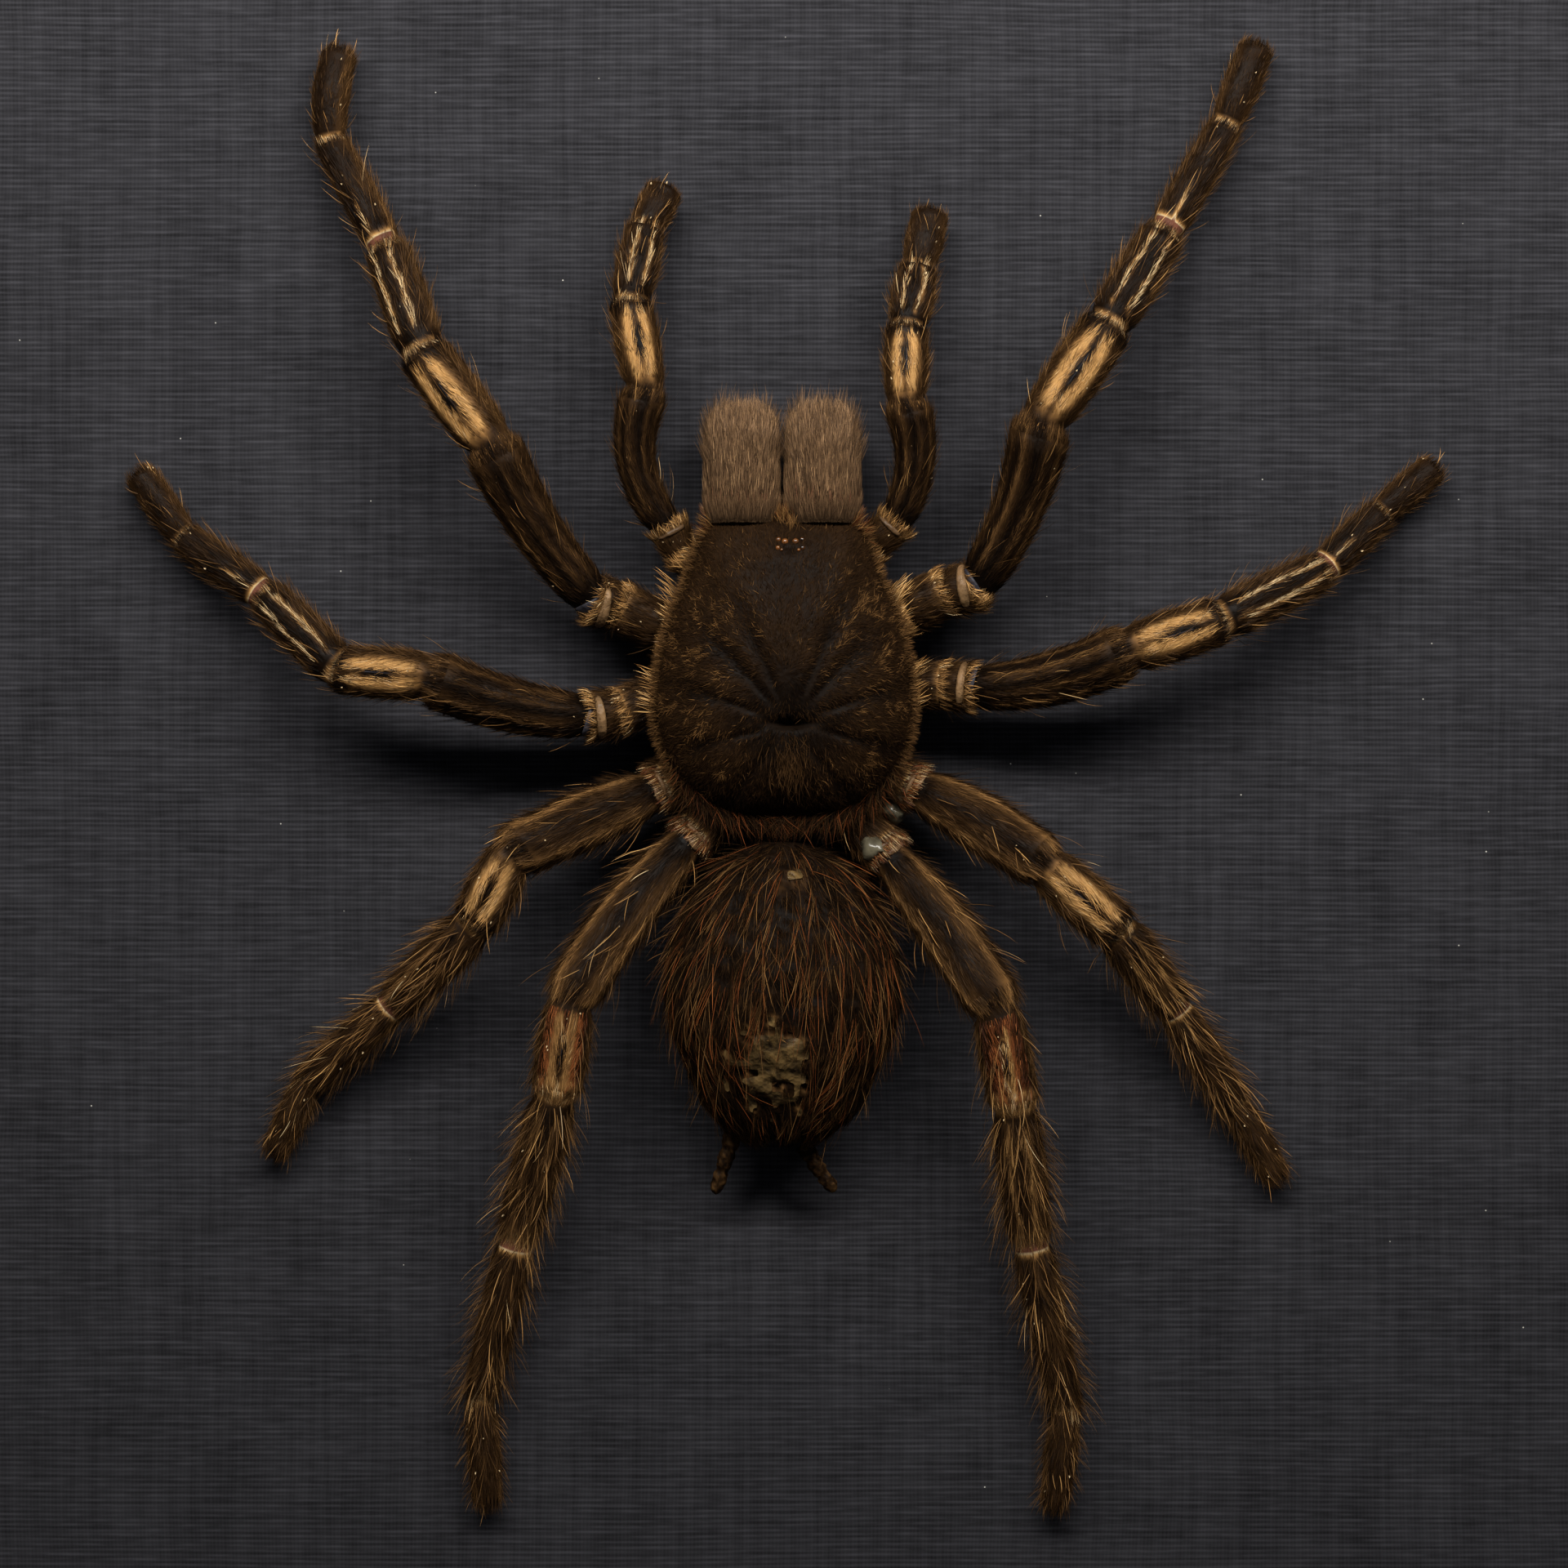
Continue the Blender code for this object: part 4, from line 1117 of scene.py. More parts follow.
# The fringe along the rim: tan at the sides, brown and longer behind with a few rust hairs, and
# straw and rust mixed over the base of the jaws.
count = 7500
column = rng.uniform(0, dome.shape[1], count)
row = rng.uniform(56, 62.9, count)
root = at_places(dome, row, column)
away = unit(at_places(outward, row, column) * (1, 1, 0))
back = np.clip((2.5 - root[:, 1]) / 3, 0, 1)
front = np.clip((root[:, 1] - 19.3) / 1.2, 0, 1)
sideways = np.stack([-np.sign(root[:, 0]) * np.ones(count), np.zeros(count), np.zeros(count)], axis=1)
way = unit(away + sideways * (back * rng.uniform(0.0, 1.5, count))[:, None] + rng.normal(0, 0.2, (count, 3)))
rusty = rng.random(count) < np.maximum(back * 0.14, front * 0.35)
tone = np.where(rusty, rng.uniform(0.84, 0.93, count), rng.normal(0.34 - 0.14 * back, 0.06, count))
tone = np.where((front > 0.5) & ~rusty, rng.uniform(0.34, 0.52, count), tone)
length = rng.uniform(0.5, 1.1, count) * (1 + rng.uniform(0.4, 2.4, count) * back + 0.8 * front)
up = np.tile((0.0, 0.0, 1.0), (count, 1))
coat.grow(root, up, way, length, tone, lift=-8 + 22 * back + 36 * front, sway=0.25, width=0.055, steps=2)

# A tuft of longer brown hairs behind the pit, and a pale one in the middle of the front.
for middle_y, spread, tones, ahead in ((1.9, 1.1, (0.22, 0.33), -1.0), (20.9, 0.4, (0.34, 0.50), 1.0)):
    count = 260 if ahead < 0 else 80
    root = np.stack([rng.normal(0.5, 0.9 if ahead < 0 else 0.4, count),
                     rng.normal(middle_y, spread, count), np.zeros(count)], axis=1)
    reach = np.hypot(root[:, 0] - CENTRE[0], root[:, 1] - CENTRE[1])
    limit = np.interp(np.arctan2(root[:, 1] - CENTRE[1], root[:, 0] - CENTRE[0]), edge_angle, edge_reach)
    root[:, 2] = dome_height(root[:, 0], root[:, 1], np.minimum(reach / limit, 0.99))
    way = unit(np.stack([rng.normal(0, 0.35, count), np.full(count, ahead), np.zeros(count)], axis=1))
    coat.grow(root, np.tile((0.0, 0.0, 1.0), (count, 1)), way, rng.uniform(0.7, 1.5, count),
              rng.uniform(*tones, count), lift=15, width=0.055, steps=2)

# Combs of pale curved hairs that reach from under the rim over the hips of the front legs.
for x, y, heading in ((-8.7, 14.6, 140), (-10.0, 7.4, 160), (8.9, 14.4, 42), (10.0, 7.9, 30)):
    count = 46
    turn = math.radians(heading)
    root = np.stack([np.full(count, x), y + rng.uniform(-2.0, 1.6, count), np.full(count, 7.3)], axis=1)
    way = unit(np.tile((math.cos(turn), math.sin(turn), 0.0), (count, 1)) + rng.normal(0, 0.14, (count, 3)))
    coat.grow(root, np.tile((0.0, 0.0, 1.0), (count, 1)), way, rng.uniform(1.2, 2.4, count),
              rng.uniform(0.48, 0.66, count), lift=16, curl=2.2, sway=0.1, width=0.05, steps=4)
keep_piece("carapace_hair", coat.mesh("carapace_hair"), BODY_HAIR, None)

# %% [markdown]
# ## The eyes
# Eight tiny eyes sit on their mound: two in the middle of the front, and three on each side. They
# are glossy beads of dark amber, joined in one piece. Spheres of a few faces are enough at this size.

# %% Eyes
EYES = ((-0.42, 0.25, 0.27), (0.42, 0.25, 0.27), (-0.95, 0.42, 0.22), (0.95, 0.42, 0.22),
        (-0.98, -0.25, 0.20), (0.98, -0.25, 0.20), (-0.68, -0.42, 0.14), (0.68, -0.42, 0.14))


def bead_points(centre, radius, rows=9, columns=14):
    """The points and faces of a slightly flattened bead."""
    fall = np.linspace(0, np.pi, rows)[1:-1]
    turn = 2 * np.pi * np.arange(columns) / columns
    ring = np.stack([np.outer(np.sin(fall), np.cos(turn)), np.outer(np.sin(fall), np.sin(turn)),
                     np.outer(np.cos(fall), np.ones(columns)) * 0.8], axis=-1).reshape(-1, 3)
    points = np.concatenate([[(0, 0, 0.8)], ring, [(0, 0, -0.8)]]) * radius + centre
    faces = [(0, 1 + i, 1 + (i + 1) % columns) for i in range(columns)]
    for r in range(rows - 3):
        base = 1 + r * columns
        for i in range(columns):
            j = (i + 1) % columns
            faces.append((base + i, base + columns + i, base + columns + j, base + j))
    base = 1 + (rows - 3) * columns
    faces += [(base + i, len(points) - 1, base + (i + 1) % columns) for i in range(columns)]
    return points, faces


def bead_mesh(name, beads):
    """Joins many beads, each given by its centre and radius, into one mesh."""
    points, faces, used = [], [], 0
    for centre, radius in beads:
        more, sides = bead_points(np.array(centre), radius)
        points.append(more)
        faces += [tuple(v + used for v in side) for side in sides]
        used += len(more)
    mesh = bpy.data.meshes.new(name)
    mesh.from_pydata(lay_out(np.concatenate(points)).tolist(), [], faces)
    mesh.shade_smooth()
    return mesh


eye_look, tree, shader, place = material("amber eye", Roughness=0.08, Specular_IOR_Level=0.6)
swirl = add(tree, "TexNoise", {"Vector": place, "Scale": 900.0, "Detail": 2.0})
tree.links.new(blend(tree, remap(tree, swirl.outputs[0], 0.42, 0.6), tint(16, 10, 7), tint(104, 62, 28)),
               shader.inputs["Base Color"])
beads = []
for dx, dy, radius in EYES:
    x, y = EYE_MOUND[0] + dx, EYE_MOUND[1] + dy
    reach = math.hypot(x - CENTRE[0], y - CENTRE[1])
    limit = float(np.interp(math.atan2(y - CENTRE[1], x - CENTRE[0]), edge_angle, edge_reach))
    beads.append(((x, y, float(dome_height(np.array(x), np.array(y), np.array(reach / limit)))), radius))
keep_piece("eyes", bead_mesh("eyes", beads), eye_look, None)
print(len(beads), "eyes")

# %% [markdown]
# ## The abdomen
# It is a thin-skinned bag that dried without collapsing: a plump oval, wider behind its middle. A
# worn patch near the back has lost its hair and shows crumpled, grey-olive skin with a dark split.
# The folds are pushed into the mesh with fractal noise, so they are there from every side.

# %% Abdomen skin
ABDOMEN = (
    (-4.7, 2.0, 4.4, 7.4), (-6.2, 4.9, 2.6, 9.6), (-9.0, 7.3, 1.4, 11.8), (-12.5, 8.8, 0.8, 13.2),
    (-16.5, 9.4, 0.6, 13.8), (-20.0, 8.9, 0.8, 13.2), (-23.5, 7.4, 1.3, 11.6), (-26.6, 5.8, 2.2, 9.4),
    (-28.6, 3.6, 3.4, 7.2),
)
ABDOMEN_X = -0.1
ABDOMEN_CENTRE = (ABDOMEN_X, -17, 7)
BAG_COLUMNS = 96
PATCH = np.array([-1.0, -22.3])
SPLIT = np.array([0.9, -17.8])


def worn_patch(x, y):
    """How bare the skin is, from 0 to 1. The patch has a ragged edge."""
    ragged = 0.22 * np.sin(3.1 * x + 0.7) + 0.2 * np.sin(2.3 * y + 1.9 * x)
    reach = np.hypot((x - PATCH[0]) / 3.6, (y - PATCH[1]) / 4.0) + ragged
    small = np.hypot((x - 0.6) / 1.6, (y + 7.6) / 1.2) + ragged
    return np.clip((1.1 - reach) / 0.35, 0, 1) + 0.5 * np.clip((1.0 - small) / 0.4, 0, 1)


stations = smooth_curve(ABDOMEN, 9)
turns = 2 * np.pi * np.arange(BAG_COLUMNS) / BAG_COLUMNS
middle = (stations[:, 2] + stations[:, 3]) / 2
tall = (stations[:, 3] - stations[:, 2]) / 2
bag = np.stack([ABDOMEN_X + np.outer(stations[:, 1], np.cos(turns)),
                np.repeat(stations[:, :1], BAG_COLUMNS, axis=1),
                middle[:, None] + np.outer(tall, np.sin(turns))], axis=-1)
outward, flow = facing_out(bag, ABDOMEN_CENTRE)
on_top = np.clip(np.sin(turns), 0, 1)[None, :]
worn = worn_patch(bag[:, :, 0], bag[:, :, 1]) * on_top
ripple = np.array([[noise.fractal(p * 0.55, 0.6, 2.1, 4) for p in row] for row in bag])
crumple = np.array([[abs(noise.fractal(p * 1.1 + 40, 0.7, 2.2, 4)) for p in row] for row in bag])
split = np.exp(-((bag[:, :, 0] - SPLIT[0]) / 0.55) ** 2 - ((bag[:, :, 1] - SPLIT[1]) / 1.7) ** 2) * on_top
push = 0.28 * ripple - 0.75 * crumple * worn - 1.3 * split
bag = bag + outward * push[:, :, None]
bag_tone = 0.16 + 0.03 * ripple
bag_tone = lean_to(bag_tone, 0.60 - 0.5 * crumple, np.clip(worn, 0, 1) * 0.95)
bag_tone = lean_to(bag_tone, 0.08, split * 1.2)
keep_piece("abdomen_skin", skin_mesh("abdomen_skin", bag[:, ::-1], bag_tone[:, ::-1]), BODY_SKIN, "abdomen")

# %% [markdown]
# ## The bared skin
# Where the hair has worn off, a torn olive-grey film of dried skin lies just over the bag. It takes
# the bag's own grid, lifted a little by noise, and keeps only the faces where the patch is bare, so
# its edge is as ragged as a tear.

# %% Bared skin
TORN_EDGE = 0.30
film_look, tree, shader, place = material("bared skin", Specular_IOR_Level=0.14)
crinkle = use(tree, crinkle_tree, {"Place": place, "Coarse": 700.0})
colour = blend(tree, crinkle["Mottle"], tint(28, 20, 11), tint(106, 84, 50))
tree.links.new(colour, shader.inputs["Base Color"])
tree.links.new(remap(tree, crinkle["Mottle"], 0.0, 1.0, 0.6, 0.34), shader.inputs["Roughness"])
bump(tree, shader, crinkle["Height"], 0.8, 0.0003)
ways = facing_out(bag, ABDOMEN_CENTRE)[0]
fold = np.array([[noise.fractal(p * 2.0, 0.7, 2.2, 3) for p in row] for row in bag])
torn = worn * (1.0 - 0.9 * np.clip(crumple * 1.6 - 0.35, 0, 1)) - split
film = bag + ways * (0.10 + 0.16 * np.abs(fold))[:, :, None]
quads = []
for row in range(film.shape[0] - 1):
    for column in range(BAG_COLUMNS - 1):
        corners = ((row, column), (row, column + 1), (row + 1, column + 1), (row + 1, column))
        if min(torn[c] for c in corners) > TORN_EDGE:
            quads.append(tuple(r * BAG_COLUMNS + c for r, c in corners))
used = sorted({v for quad in quads for v in quad})
number_of = {old: new for new, old in enumerate(used)}
film_mesh = bpy.data.meshes.new("abdomen_bared_skin")
film_mesh.from_pydata(lay_out(film.reshape(-1, 3)[used]).tolist(), [],
                      [tuple(number_of[v] for v in quad) for quad in quads])
film_mesh.shade_smooth()
bared = keep_piece("abdomen_bared_skin", film_mesh, film_look, None)
soft = bared.modifiers.new("rounded", "SUBSURF")
soft.levels = 1
soft.render_levels = 1
print("bared skin:", len(quads), "faces")

# %% [markdown]
# ## The abdomen's hair
# A dark brown undercoat lies backwards over the bag. Through it grow the long rust-red hairs that
# sweep from the front over the back and close together behind, and thin wisps leave the sides.

# %% Abdomen hair
rng = np.random.default_rng(11)
outward, flow = facing_out(bag, ABDOMEN_CENTRE)
locks = drawn_out(rng, bag.shape[:2])
coat = Coat(rng)


def on_bag(row, column, pull):
    """Root, outward way and way to the rear, which pulls towards the middle behind."""
    root = at_places(bag, row, column)
    behind = np.clip((-17 - root[:, 1]) / 9, 0, 1) * pull
    inward = np.stack([-np.tanh(root[:, 0] / 3) * behind, 0 * behind, 0 * behind], axis=1)
    way = unit(unit(at_places(flow, row, column)) + inward)
    return root, unit(at_places(outward, row, column)), way


# The undercoat, thin over the worn patch.
bald = np.clip(worn * 1.3 + split * 1.5, 0, 0.97)
below = np.clip(0.45 + 0.7 * np.sin(turns), 0.3, 1)[None, :]
row, column = scatter(bag, 62, (1 - bald) * below, rng)
root, out, way = on_bag(row, column, 0.0)
tone = 0.175 + 0.035 * at_places(locks, row, column) + rng.normal(0, 0.03, len(row))
tone = np.where(rng.random(len(row)) < 0.10, rng.uniform(0.27, 0.36, len(row)), tone)
coat.grow(root, out, way, rng.uniform(0.7, 1.6, len(row)), tone, lift=14, sway=0.2, width=0.06, steps=1,
          lean=0.3 * at_places(locks, row, column))

# The long rust hairs, in locks.
grows = np.clip(locks * 0.7 + 0.5, 0.05, 2) * (1 - 0.97 * np.clip(worn * 1.2, 0, 1))
row, column = scatter(bag, 4.2, grows * np.clip(0.35 + np.sin(turns), 0, 1)[None, :], rng)
root, out, way = on_bag(row, column, 0.25)
tone = np.where(rng.random(len(row)) < 0.34, rng.uniform(0.86, 0.97, len(row)),
                rng.uniform(0.26, 0.50, len(row)))
near_end = np.clip((root[:, 1] + 30.5) / 7, 0.25, 1)
coat.grow(root, out, way, rng.uniform(2.5, 6.0, len(row)) * near_end, tone, lift=11, curl=1.1, sway=0.14,
          width=0.05, steps=5, lean=0.22 * at_places(locks, row, column))

# Brighter ones that cross each other over the very end, and thin wisps off the sides.
count = 90
row = rng.uniform(0.60, 0.84, count) * (len(bag) - 1)
column = rng.choice((0.03, 0.33), count) * BAG_COLUMNS + rng.uniform(0, 14, count)
root, out, way = on_bag(row, column, 0.9)
coat.grow(root, out, way, rng.uniform(2.5, 4.5, count), rng.uniform(0.90, 0.97, count), lift=14, curl=0.9,
          sway=0.3, width=0.06, steps=5)
row, column = scatter(bag, 1.6, np.exp(-(np.sin(turns) / 0.35) ** 2)[None, :] * np.ones((len(bag), 1)), rng)
root, out, way = on_bag(row, column, 0.0)
coat.grow(root, out, way, rng.uniform(1.5, 3.2, len(row)), rng.uniform(0.28, 0.46, len(row)), lift=38,
          curl=0.5, sway=0.3, width=0.05, steps=4)
keep_piece("abdomen_hair", coat.mesh("abdomen_hair"), BODY_HAIR, None)

# %% [markdown]
# ## The jaws
# Both chelicerae are blocks with rounded fronts, side by side with a dark slot between them. They
# are covered by straight grey-tan hair that lies forwards, with a few rust hairs where it starts.

# %% Jaws
JAW = (
    (21.4, 2.75, 4.0, 9.4), (22.4, 2.85, 3.5, 10.0), (25.0, 2.85, 3.3, 10.4), (27.4, 2.75, 3.3, 10.0),
    (29.0, 2.4, 3.6, 8.6), (29.9, 1.7, 4.4, 7.0),
)
JAW_X = {"left": -3.4, "right": 3.1}
JAW_GAP_X = -0.15
JAW_COLUMNS = 48
JAW_SQUARENESS = 0.86


def build_jaw(side, centre_x, seed):
    rng = np.random.default_rng(seed)
    stations = smooth_curve(JAW, 8)
    turns = 2 * np.pi * np.arange(JAW_COLUMNS) / JAW_COLUMNS
    wide = np.sign(np.cos(turns)) * np.abs(np.cos(turns)) ** JAW_SQUARENESS
    high = np.sign(np.sin(turns)) * np.abs(np.sin(turns)) ** JAW_SQUARENESS
    middle = (stations[:, 2] + stations[:, 3]) / 2
    tall = (stations[:, 3] - stations[:, 2]) / 2
    grid = np.stack([centre_x + np.outer(stations[:, 1] * 1.05, wide),
                     np.repeat(stations[:, :1], JAW_COLUMNS, axis=1),
                     middle[:, None] + np.outer(tall, high)], axis=-1)
    tone = np.full(grid.shape[:2], 0.26)
    name = "chelicera_" + side
    keep_piece(name + "_skin", skin_mesh(name + "_skin", grid, tone), BODY_SKIN, name)

    outward, flow = facing_out(grid, (centre_x, 25, 7))
    coat = Coat(rng)

    def places(row, column):
        return (at_places(grid, row, column), unit(at_places(outward, row, column)),
                unit(at_places(flow, row, column)))

    top = np.clip(0.6 + 0.6 * np.sin(turns), 0.3, 1)[None, :] * np.ones((len(grid), 1))
    locks = rng.normal(0, 1, grid.shape[:2])
    row, column = scatter(grid, 90, top, rng)
    root, out, way = places(row, column)
    forward = np.array([0.0, 1.0, 0.0])
    way = unit(way + forward * 0.5)
    base = np.clip((22.8 - root[:, 1]) / 1.2, 0, 1)
    inner = np.exp(-((root[:, 0] - JAW_GAP_X) / 0.7) ** 2)
    tone = 0.395 + 0.07 * np.clip((root[:, 1] - 24) / 5, 0, 1) + 0.08 * inner
    tone = tone + 0.03 * at_places(locks, row, column) + rng.normal(0, 0.04, len(row))
    tone = np.where(rng.random(len(row)) < base * 0.2, rng.uniform(0.90, 0.96, len(row)), tone)
    tone = np.where(rng.random(len(row)) < 0.07, 0.56, tone)
    coat.grow(root, out, way, rng.uniform(1.0, 1.9, len(row)), tone, lift=11, curl=0.8, sway=0.08,
              width=0.055, steps=2, lean=0.07 * at_places(locks, row, column))

    # Hairs that start under the carapace's rim, then short upright ones, and a looser fringe in front.
    count = 1500
    root, out, way = places(rng.uniform(0, 3, count), rng.uniform(2, 22, count))
    coat.grow(root + (0, -0.5, 0.35) * np.ones((count, 1)), out, unit(way + forward),
              rng.uniform(1.3, 2.4, count), rng.uniform(0.30, 0.48, count), lift=12, curl=0.8, sway=0.12,
              width=0.055, steps=2)
    count = 700
    root, out, way = places(rng.uniform(0, 5, count), rng.uniform(0, JAW_COLUMNS, count))
    way = unit(way + forward)
    coat.grow(root, out, way, rng.uniform(0.6, 1.1, count), rng.choice((0.92, 0.97, 0.44, 0.54), count),
              lift=48, curl=0.5, sway=0.25, width=0.06)
    front_rows = 24
    row, column = scatter(grid[-front_rows:], 13, np.ones((front_rows, JAW_COLUMNS)), rng)
    root, out, way = places(row + len(grid) - front_rows, column)
    way = unit(way * 0.6 + forward)
    coat.grow(root, out, way, rng.uniform(1.2, 2.5, len(row)), rng.uniform(0.30, 0.46, len(row)), lift=22,
              curl=0.2, sway=0.2, width=0.055, steps=3)
    keep_piece(name + "_hair", coat.mesh(name + "_hair"), JAW_HAIR, None)


for seed, (side, centre_x) in enumerate(JAW_X.items()):
    build_jaw(side, centre_x, 50 + seed)

# %% [markdown]
# ## Spinnerets
# Two short fingers, each of three joints, stick out behind. They are bare, brown and knobbly, and the tops of
# the knobs are painted lighter, as golden glints.

# %% Spinnerets
FINGERS = {
    "left": ((-4.0, -28.0, 3.6), (-4.7, -30.3, 3.7), (-5.6, -33.2, 3.1)),
    "right": ((1.6, -29.2, 3.4), (2.6, -30.9, 3.6), (4.1, -33.0, 3.0)),
}
for side, path in FINGERS.items():
    line = smooth_curve(path, 18)
    along = unit(np.gradient(line, axis=0))
    t = np.linspace(0, 1, len(line))
    first, second = np.exp(-((t - 0.36) / 0.05) ** 2), np.exp(-((t - 0.68) / 0.05) ** 2)
    radii = (0.78 - 0.26 * t) * (1 - 0.22 * first - 0.22 * second)
    radii = radii * np.sqrt(np.clip((1.02 - t) / 0.1, 0, 1))
    grid = limb_grid(line, along, radii)
    knobs_and_glints = np.array([[noise.fractal(p * 2.2, 0.6, 2.1, 3) for p in row] for row in grid])
    grid = grid + directions(grid)[0] * 0.10 * knobs_and_glints[:, :, None]
    name = "spinneret_" + side
    # Painted highlight: the tone rises with each knob's height, so the tops of the knobs carry golden glints.
    mesh = skin_mesh(name + "_skin", grid, 0.29 + 0.2 * knobs_and_glints)
    keep_piece(name + "_skin", mesh, BODY_SKIN, name)
print("spinnerets:", ", ".join(FINGERS))

# %% [markdown]
# ## The hidden grown pieces
# The sternum, the waist and the fangs keep their own solids. A subdivision rounds their facets, and
# they take the dry skin and the black horn.

# %% Finish the grown solids


def finish_node(name, look, levels=0, bevel=0.0):
    """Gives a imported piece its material, rounds its facets or softens its edges."""
    obj = bpy.data.objects[name]
    obj.data.materials.clear()
    obj.data.materials.append(look)
    if levels:
        soft = obj.modifiers.new("rounded", "SUBSURF")
        soft.levels = levels
        soft.render_levels = levels
        obj.data.shade_smooth()
    if bevel:
        edge = obj.modifiers.new("soft edge", "BEVEL")
        edge.width = bevel
        edge.segments = 3
        edge.limit_method = "ANGLE"
        edge.harden_normals = False


for name in ("sternum", "pedicel"):
    finish_node(name, DRY_SKIN, levels=2)
for name in ("fang_left", "fang_right"):
    finish_node(name, HORN, levels=2)

glue_look, tree, shader, place = material("dried glue", Roughness=0.22, IOR=1.48, Specular_IOR_Level=0.5)
lumps = add(tree, "TexNoise", {"Vector": place, "Scale": 700.0, "Detail": 3.0})
tree.links.new(blend(tree, remap(tree, lumps.outputs[0], 0.35, 0.65), tint(52, 48, 38), tint(98, 92, 74)),
               shader.inputs["Base Color"])
bump(tree, shader, lumps.outputs[0], 0.5, 0.0002)
finish_node("glue_pad", glue_look, levels=2)
blob = bead_mesh("glue_bead", [((8.9, -2.2, 4.6), 1.0), ((7.2, -5.2, 6.0), 1.05)])
for point in blob.vertices:
    lump = noise.fractal(point.co * 900, 0.6, 2.0, 3)
    point.co.x += 0.0005 * lump
    point.co.y += 0.0004 * noise.fractal(point.co * 700 + point.co.xxx, 0.6, 2.0, 3)
    point.co.z += 0.0003 * lump
keep_piece("glue_bead", blob, glue_look, None)
print("finishes so far:", len(bpy.data.materials))

# %% [markdown]
# ## The cloth
# The board is covered with bookcloth, a starched weave. Thick threads run across it as fine ribs,
# not quite even, and thinner ones cross them. The ribs are a wave whose place is shifted by a slow
# noise, and a long noise along each thread lets it fade in and out. The same height feeds the bump.

# %% Cloth material
RIB = 0.00042
THREAD = 0.00030
cloth, tree, shader, place = material("slate bookcloth", Specular_IOR_Level=0.10)
axes = add(tree, "SeparateXYZ", {0: place})


def cloth_noise(scale, low, high, detail=1.0):
    """A noise drawn out along the threads, as a value from 0 to 1."""
    made = add(tree, "TexNoise", {"Vector": stretched(tree, place, scale), "Scale": 1.0, "Detail": detail})
    return remap(tree, made.outputs[0], low, high)


def thread_wave(axis, pitch, drift):
    """A wave across the threads that lie along one axis."""
    moved = maths(tree, "ADD", axes.outputs[axis], drift)
    wave = maths(tree, "SINE", maths(tree, "MULTIPLY", moved, 2 * math.pi / pitch))
    return remap(tree, wave, -1.0, 1.0)


def total_of(parts):
    """Adds up pairs of a value and its share."""
    summed = 0.0
    for value, share in parts:
        summed = maths(tree, "ADD", maths(tree, "MULTIPLY", value, share), summed)
    return summed


wander = maths(tree, "MULTIPLY", cloth_noise((25, 90, 1), 0.0, 1.0), RIB * 2.5)
dashes = cloth_noise((420, 2380, 1), 0.36, 0.66, 2.0)
ribs = maths(tree, "MULTIPLY", thread_wave(1, RIB, wander), total_of([(dashes, 0.75), (1.0, 0.25)]))
weave = total_of([
    (ribs, 0.44), (cloth_noise((120, 2380, 1), 0.35, 0.65), 0.16), (thread_wave(0, THREAD, wander), 0.10),
    (cloth_noise((1700, 60, 1), 0.3, 0.7), 0.12), (cloth_noise((160, 160, 1), 0.3, 0.7, 4.0), 0.14),
])
colour = blend(tree, weave, tint(17, 17, 19), tint(60, 60, 65))
dust = use(tree, dust_tree, {"Place": place, "Spacing": 0.0026, "Amount": 0.35})
colour = blend(tree, dust["Specks"], colour, tint(190, 188, 180))
tree.links.new(colour, shader.inputs["Base Color"])
tree.links.new(remap(tree, weave, 0.0, 1.0, 0.95, 0.75), shader.inputs["Roughness"])
bump(tree, shader, weave, 0.35, 0.00006)
finish_node("mount_board", cloth)

# %% [markdown]
# ## Rails, panel and fittings
# The rails are wood under thin black paint: long fibres show as faint ridges, and the paint is rubbed
# a little. The same group serves the grey card of the back, only finer. The fittings are dull
# brassed steel. Each mitre is a hair's breadth open, so a sliver of black filler closes it.

# %% Frame materials


def black_wood(name, stretch):
    new, tree, shader, place = material(name, Specular_IOR_Level=0.45)
    fibre = use(tree, fibre_tree, {"Place": stretched(tree, place, stretch), "Fineness": 800.0})
    dust = use(tree, dust_tree, {"Place": place, "Spacing": 0.004, "Amount": 0.25})
    colour = blend(tree, fibre["Streaks"], tint(24, 23, 23), tint(38, 35, 33))
    colour = blend(tree, maths(tree, "MULTIPLY", fibre["Fibres"], 0.35), colour, tint(58, 52, 46))
    colour = blend(tree, maths(tree, "MULTIPLY", dust["Specks"], 0.7), colour, tint(150, 146, 138))
    tree.links.new(colour, shader.inputs["Base Color"])
    tree.links.new(remap(tree, fibre["Fibres"], 0.0, 1.0, 0.34, 0.52), shader.inputs["Roughness"])
    bump(tree, shader, fibre["Fibres"], 0.35, 0.00015)
    return new


UPRIGHT = black_wood("black wood, upright rails", (1.0, 0.06, 1.0))
LEVEL = black_wood("black wood, level rails", (0.06, 1.0, 1.0))
for name, look in (("left", UPRIGHT), ("right", UPRIGHT), ("top", LEVEL), ("bottom", LEVEL)):
    finish_node("rail_" + name, look, bevel=0.0004)

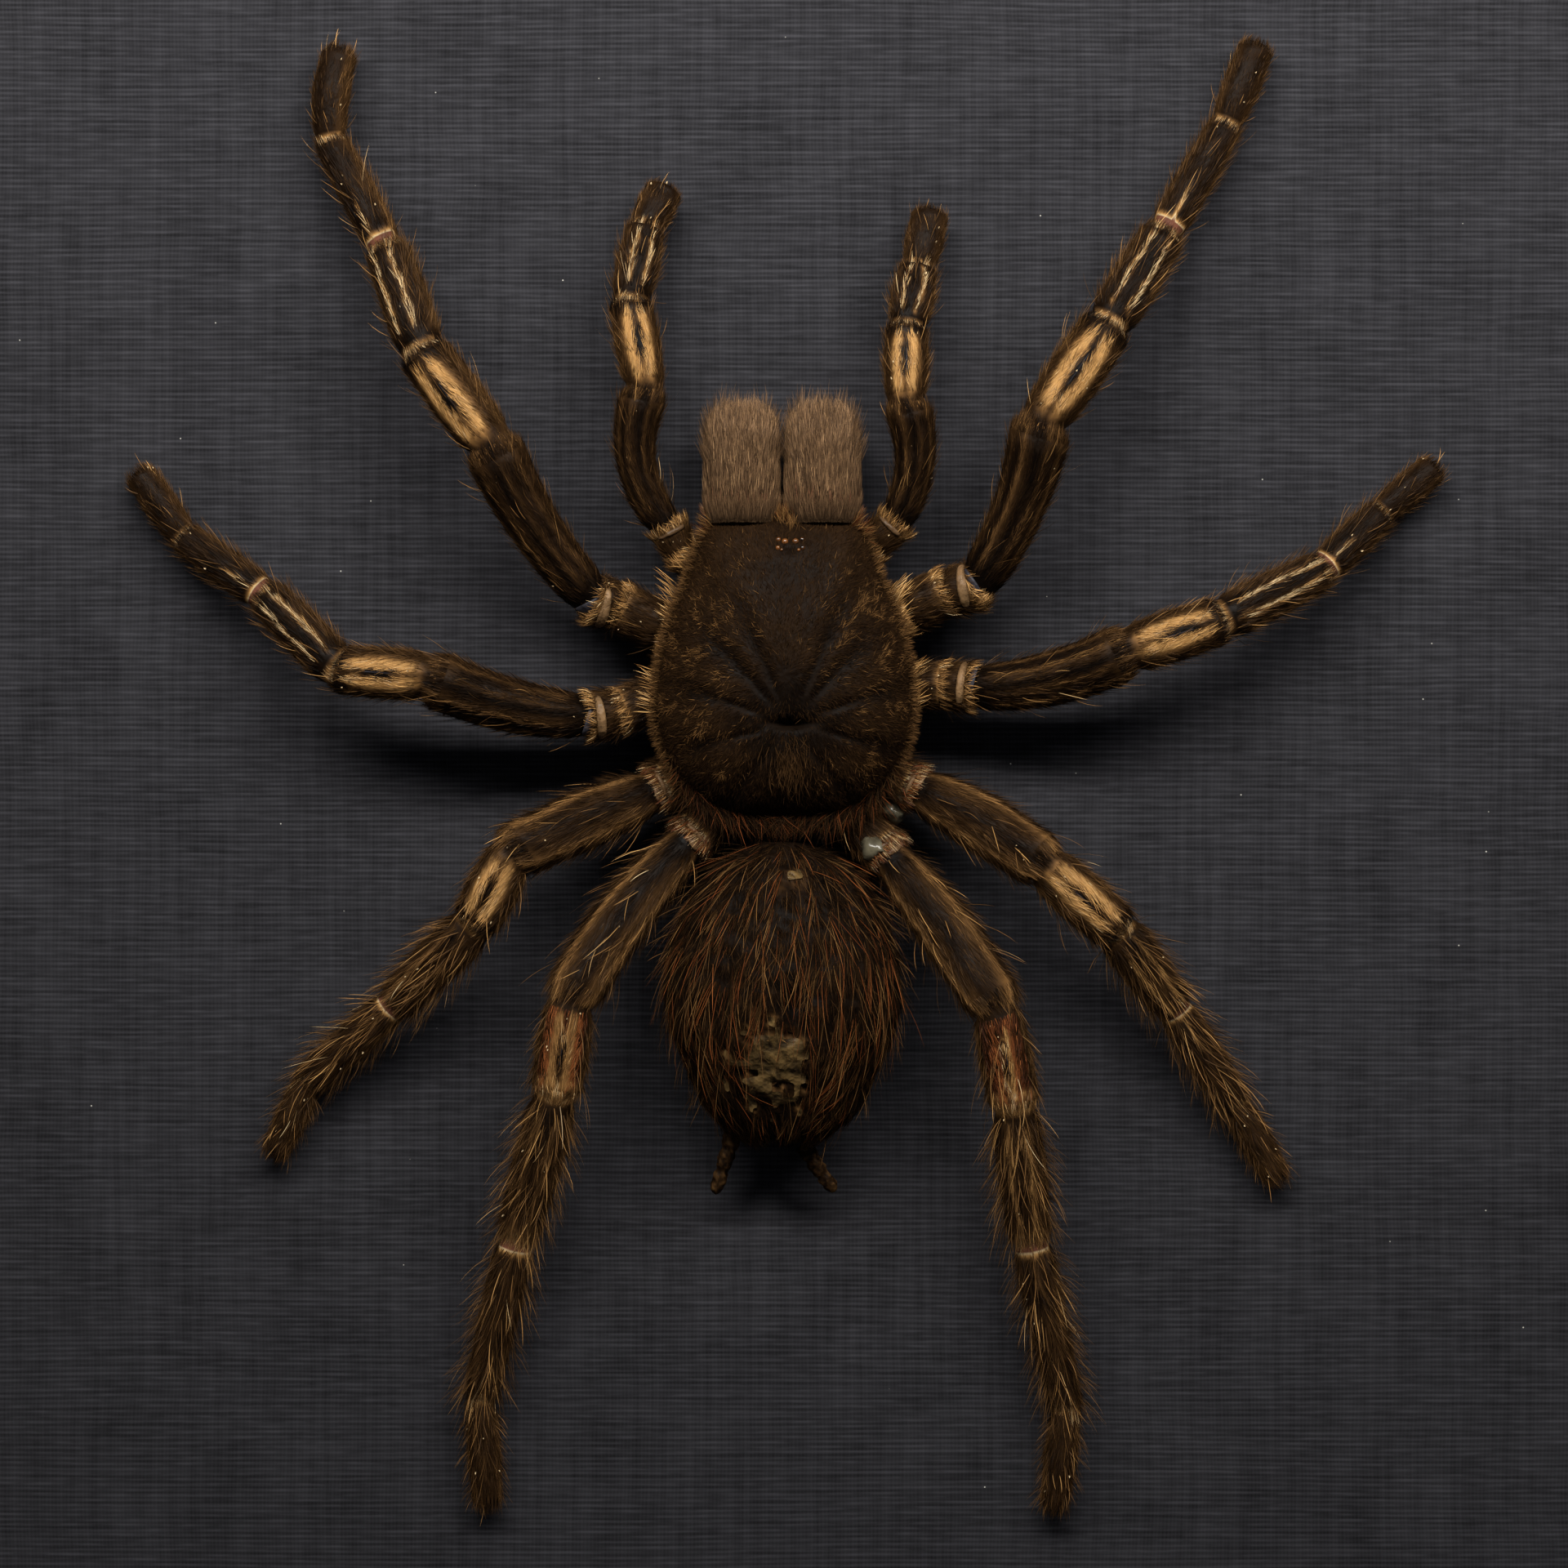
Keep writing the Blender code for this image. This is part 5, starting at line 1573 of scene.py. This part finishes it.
# The filler's outline follows the rails' section, a little inside.
INSET = 0.0004
RAIL_LOW, RAIL_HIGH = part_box("rail_right")
OUTER = RAIL_HIGH[0] - INSET
FRONT = RAIL_HIGH[2] - INSET
INNER = RAIL_LOW[0] + INSET
PANEL_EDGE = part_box("mount_board")[1][0] + 0.0005
CHAMFER = 0.0014
FOOT = 0.0003
HALF_GAP = 0.0001
SECTION = (
    (PANEL_EDGE, FOOT), (OUTER, FOOT), (OUTER, FRONT - CHAMFER), (OUTER - CHAMFER, FRONT),
    (INNER + CHAMFER, FRONT), (INNER, FRONT - CHAMFER), (INNER, BOARD_TOP + 0.0006),
    (PANEL_EDGE, BOARD_TOP + 0.0006),
)
points, faces = [], []
for east, north in ((1, 1), (-1, 1), (-1, -1), (1, -1)):
    first = len(points)
    for half in (-HALF_GAP, HALF_GAP):
        points += [(east * (s + half), north * (s - half), z) for s, z in SECTION]
    around = len(SECTION)
    faces.append(tuple(first + i for i in range(around)))
    faces.append(tuple(first + around + i for i in reversed(range(around))))
    for i in range(around):
        j = (i + 1) % around
        faces.append((first + i, first + around + i, first + around + j, first + j))
filler = bpy.data.meshes.new("mitre_filler")
filler.from_pydata(points, [], faces)
keep_piece("mitre_filler", filler, UPRIGHT, None)
print("filler:", len(points), "points")

card, tree, shader, place = material("grey card", Specular_IOR_Level=0.2, Roughness=0.9)
fibre = use(tree, fibre_tree, {"Place": stretched(tree, place, (0.5, 1.0, 1.0)), "Fineness": 1400.0})
colour = blend(tree, fibre["Streaks"], tint(112, 104, 90), tint(134, 126, 110))
colour = blend(tree, maths(tree, "MULTIPLY", fibre["Fibres"], 0.5), colour, tint(86, 78, 66))
tree.links.new(colour, shader.inputs["Base Color"])
bump(tree, shader, fibre["Fibres"], 0.5, 0.0002)
finish_node("back_panel", card, bevel=0.0003)

brass, tree, shader, place = material("brassed steel", Metallic=1.0)
fibre = use(tree, fibre_tree, {"Place": stretched(tree, place, (0.2, 1.0, 1.0)), "Fineness": 2500.0})
dust = use(tree, dust_tree, {"Place": place, "Spacing": 0.002, "Amount": 0.4})
colour = blend(tree, dust["Haze"], tint(176, 142, 84), tint(128, 104, 66))
tree.links.new(colour, shader.inputs["Base Color"])
tree.links.new(remap(tree, fibre["Fibres"], 0.0, 1.0, 0.28, 0.5), shader.inputs["Roughness"])
bump(tree, shader, fibre["Fibres"], 0.25, 0.00008)
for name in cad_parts:
    if name.startswith(("turn_button", "button_screw", "hanger")):
        finish_node(name, brass, bevel=0.00012)

# %% [markdown]
# ## The floor
# A plain pale table top carries the frame in the other views. It isn't part of the object. It is
# mixed darker than it looks, because the lamps are set bright for the sake of the dark spider.

# %% Floor
floor_mesh = bpy.data.meshes.new("floor")
reach = 3.0         # metres from the middle to each edge
floor_mesh.from_pydata([(-reach, -reach, 0), (reach, -reach, 0), (reach, reach, 0), (-reach, reach, 0)], [],
                       [(0, 1, 2, 3)])
floor = bpy.data.objects.new("floor", floor_mesh)
floor.location.z = -0.0002
bpy.context.scene.collection.objects.link(floor)
look, tree, shader, place = material("pale table", Roughness=0.7)
tone = add(tree, "TexNoise", {"Vector": place, "Scale": 3.0})
tree.links.new(blend(tree, tone.outputs[0], tint(124, 123, 121), tint(130, 129, 126)),
               shader.inputs["Base Color"])
floor_mesh.materials.append(look)

# %% Sizes and finish
total = sum(len(p.vertices) - 2 for obj in PIECES for p in obj.data.polygons)
print(len(PIECES), "made pieces,", total, "triangles")
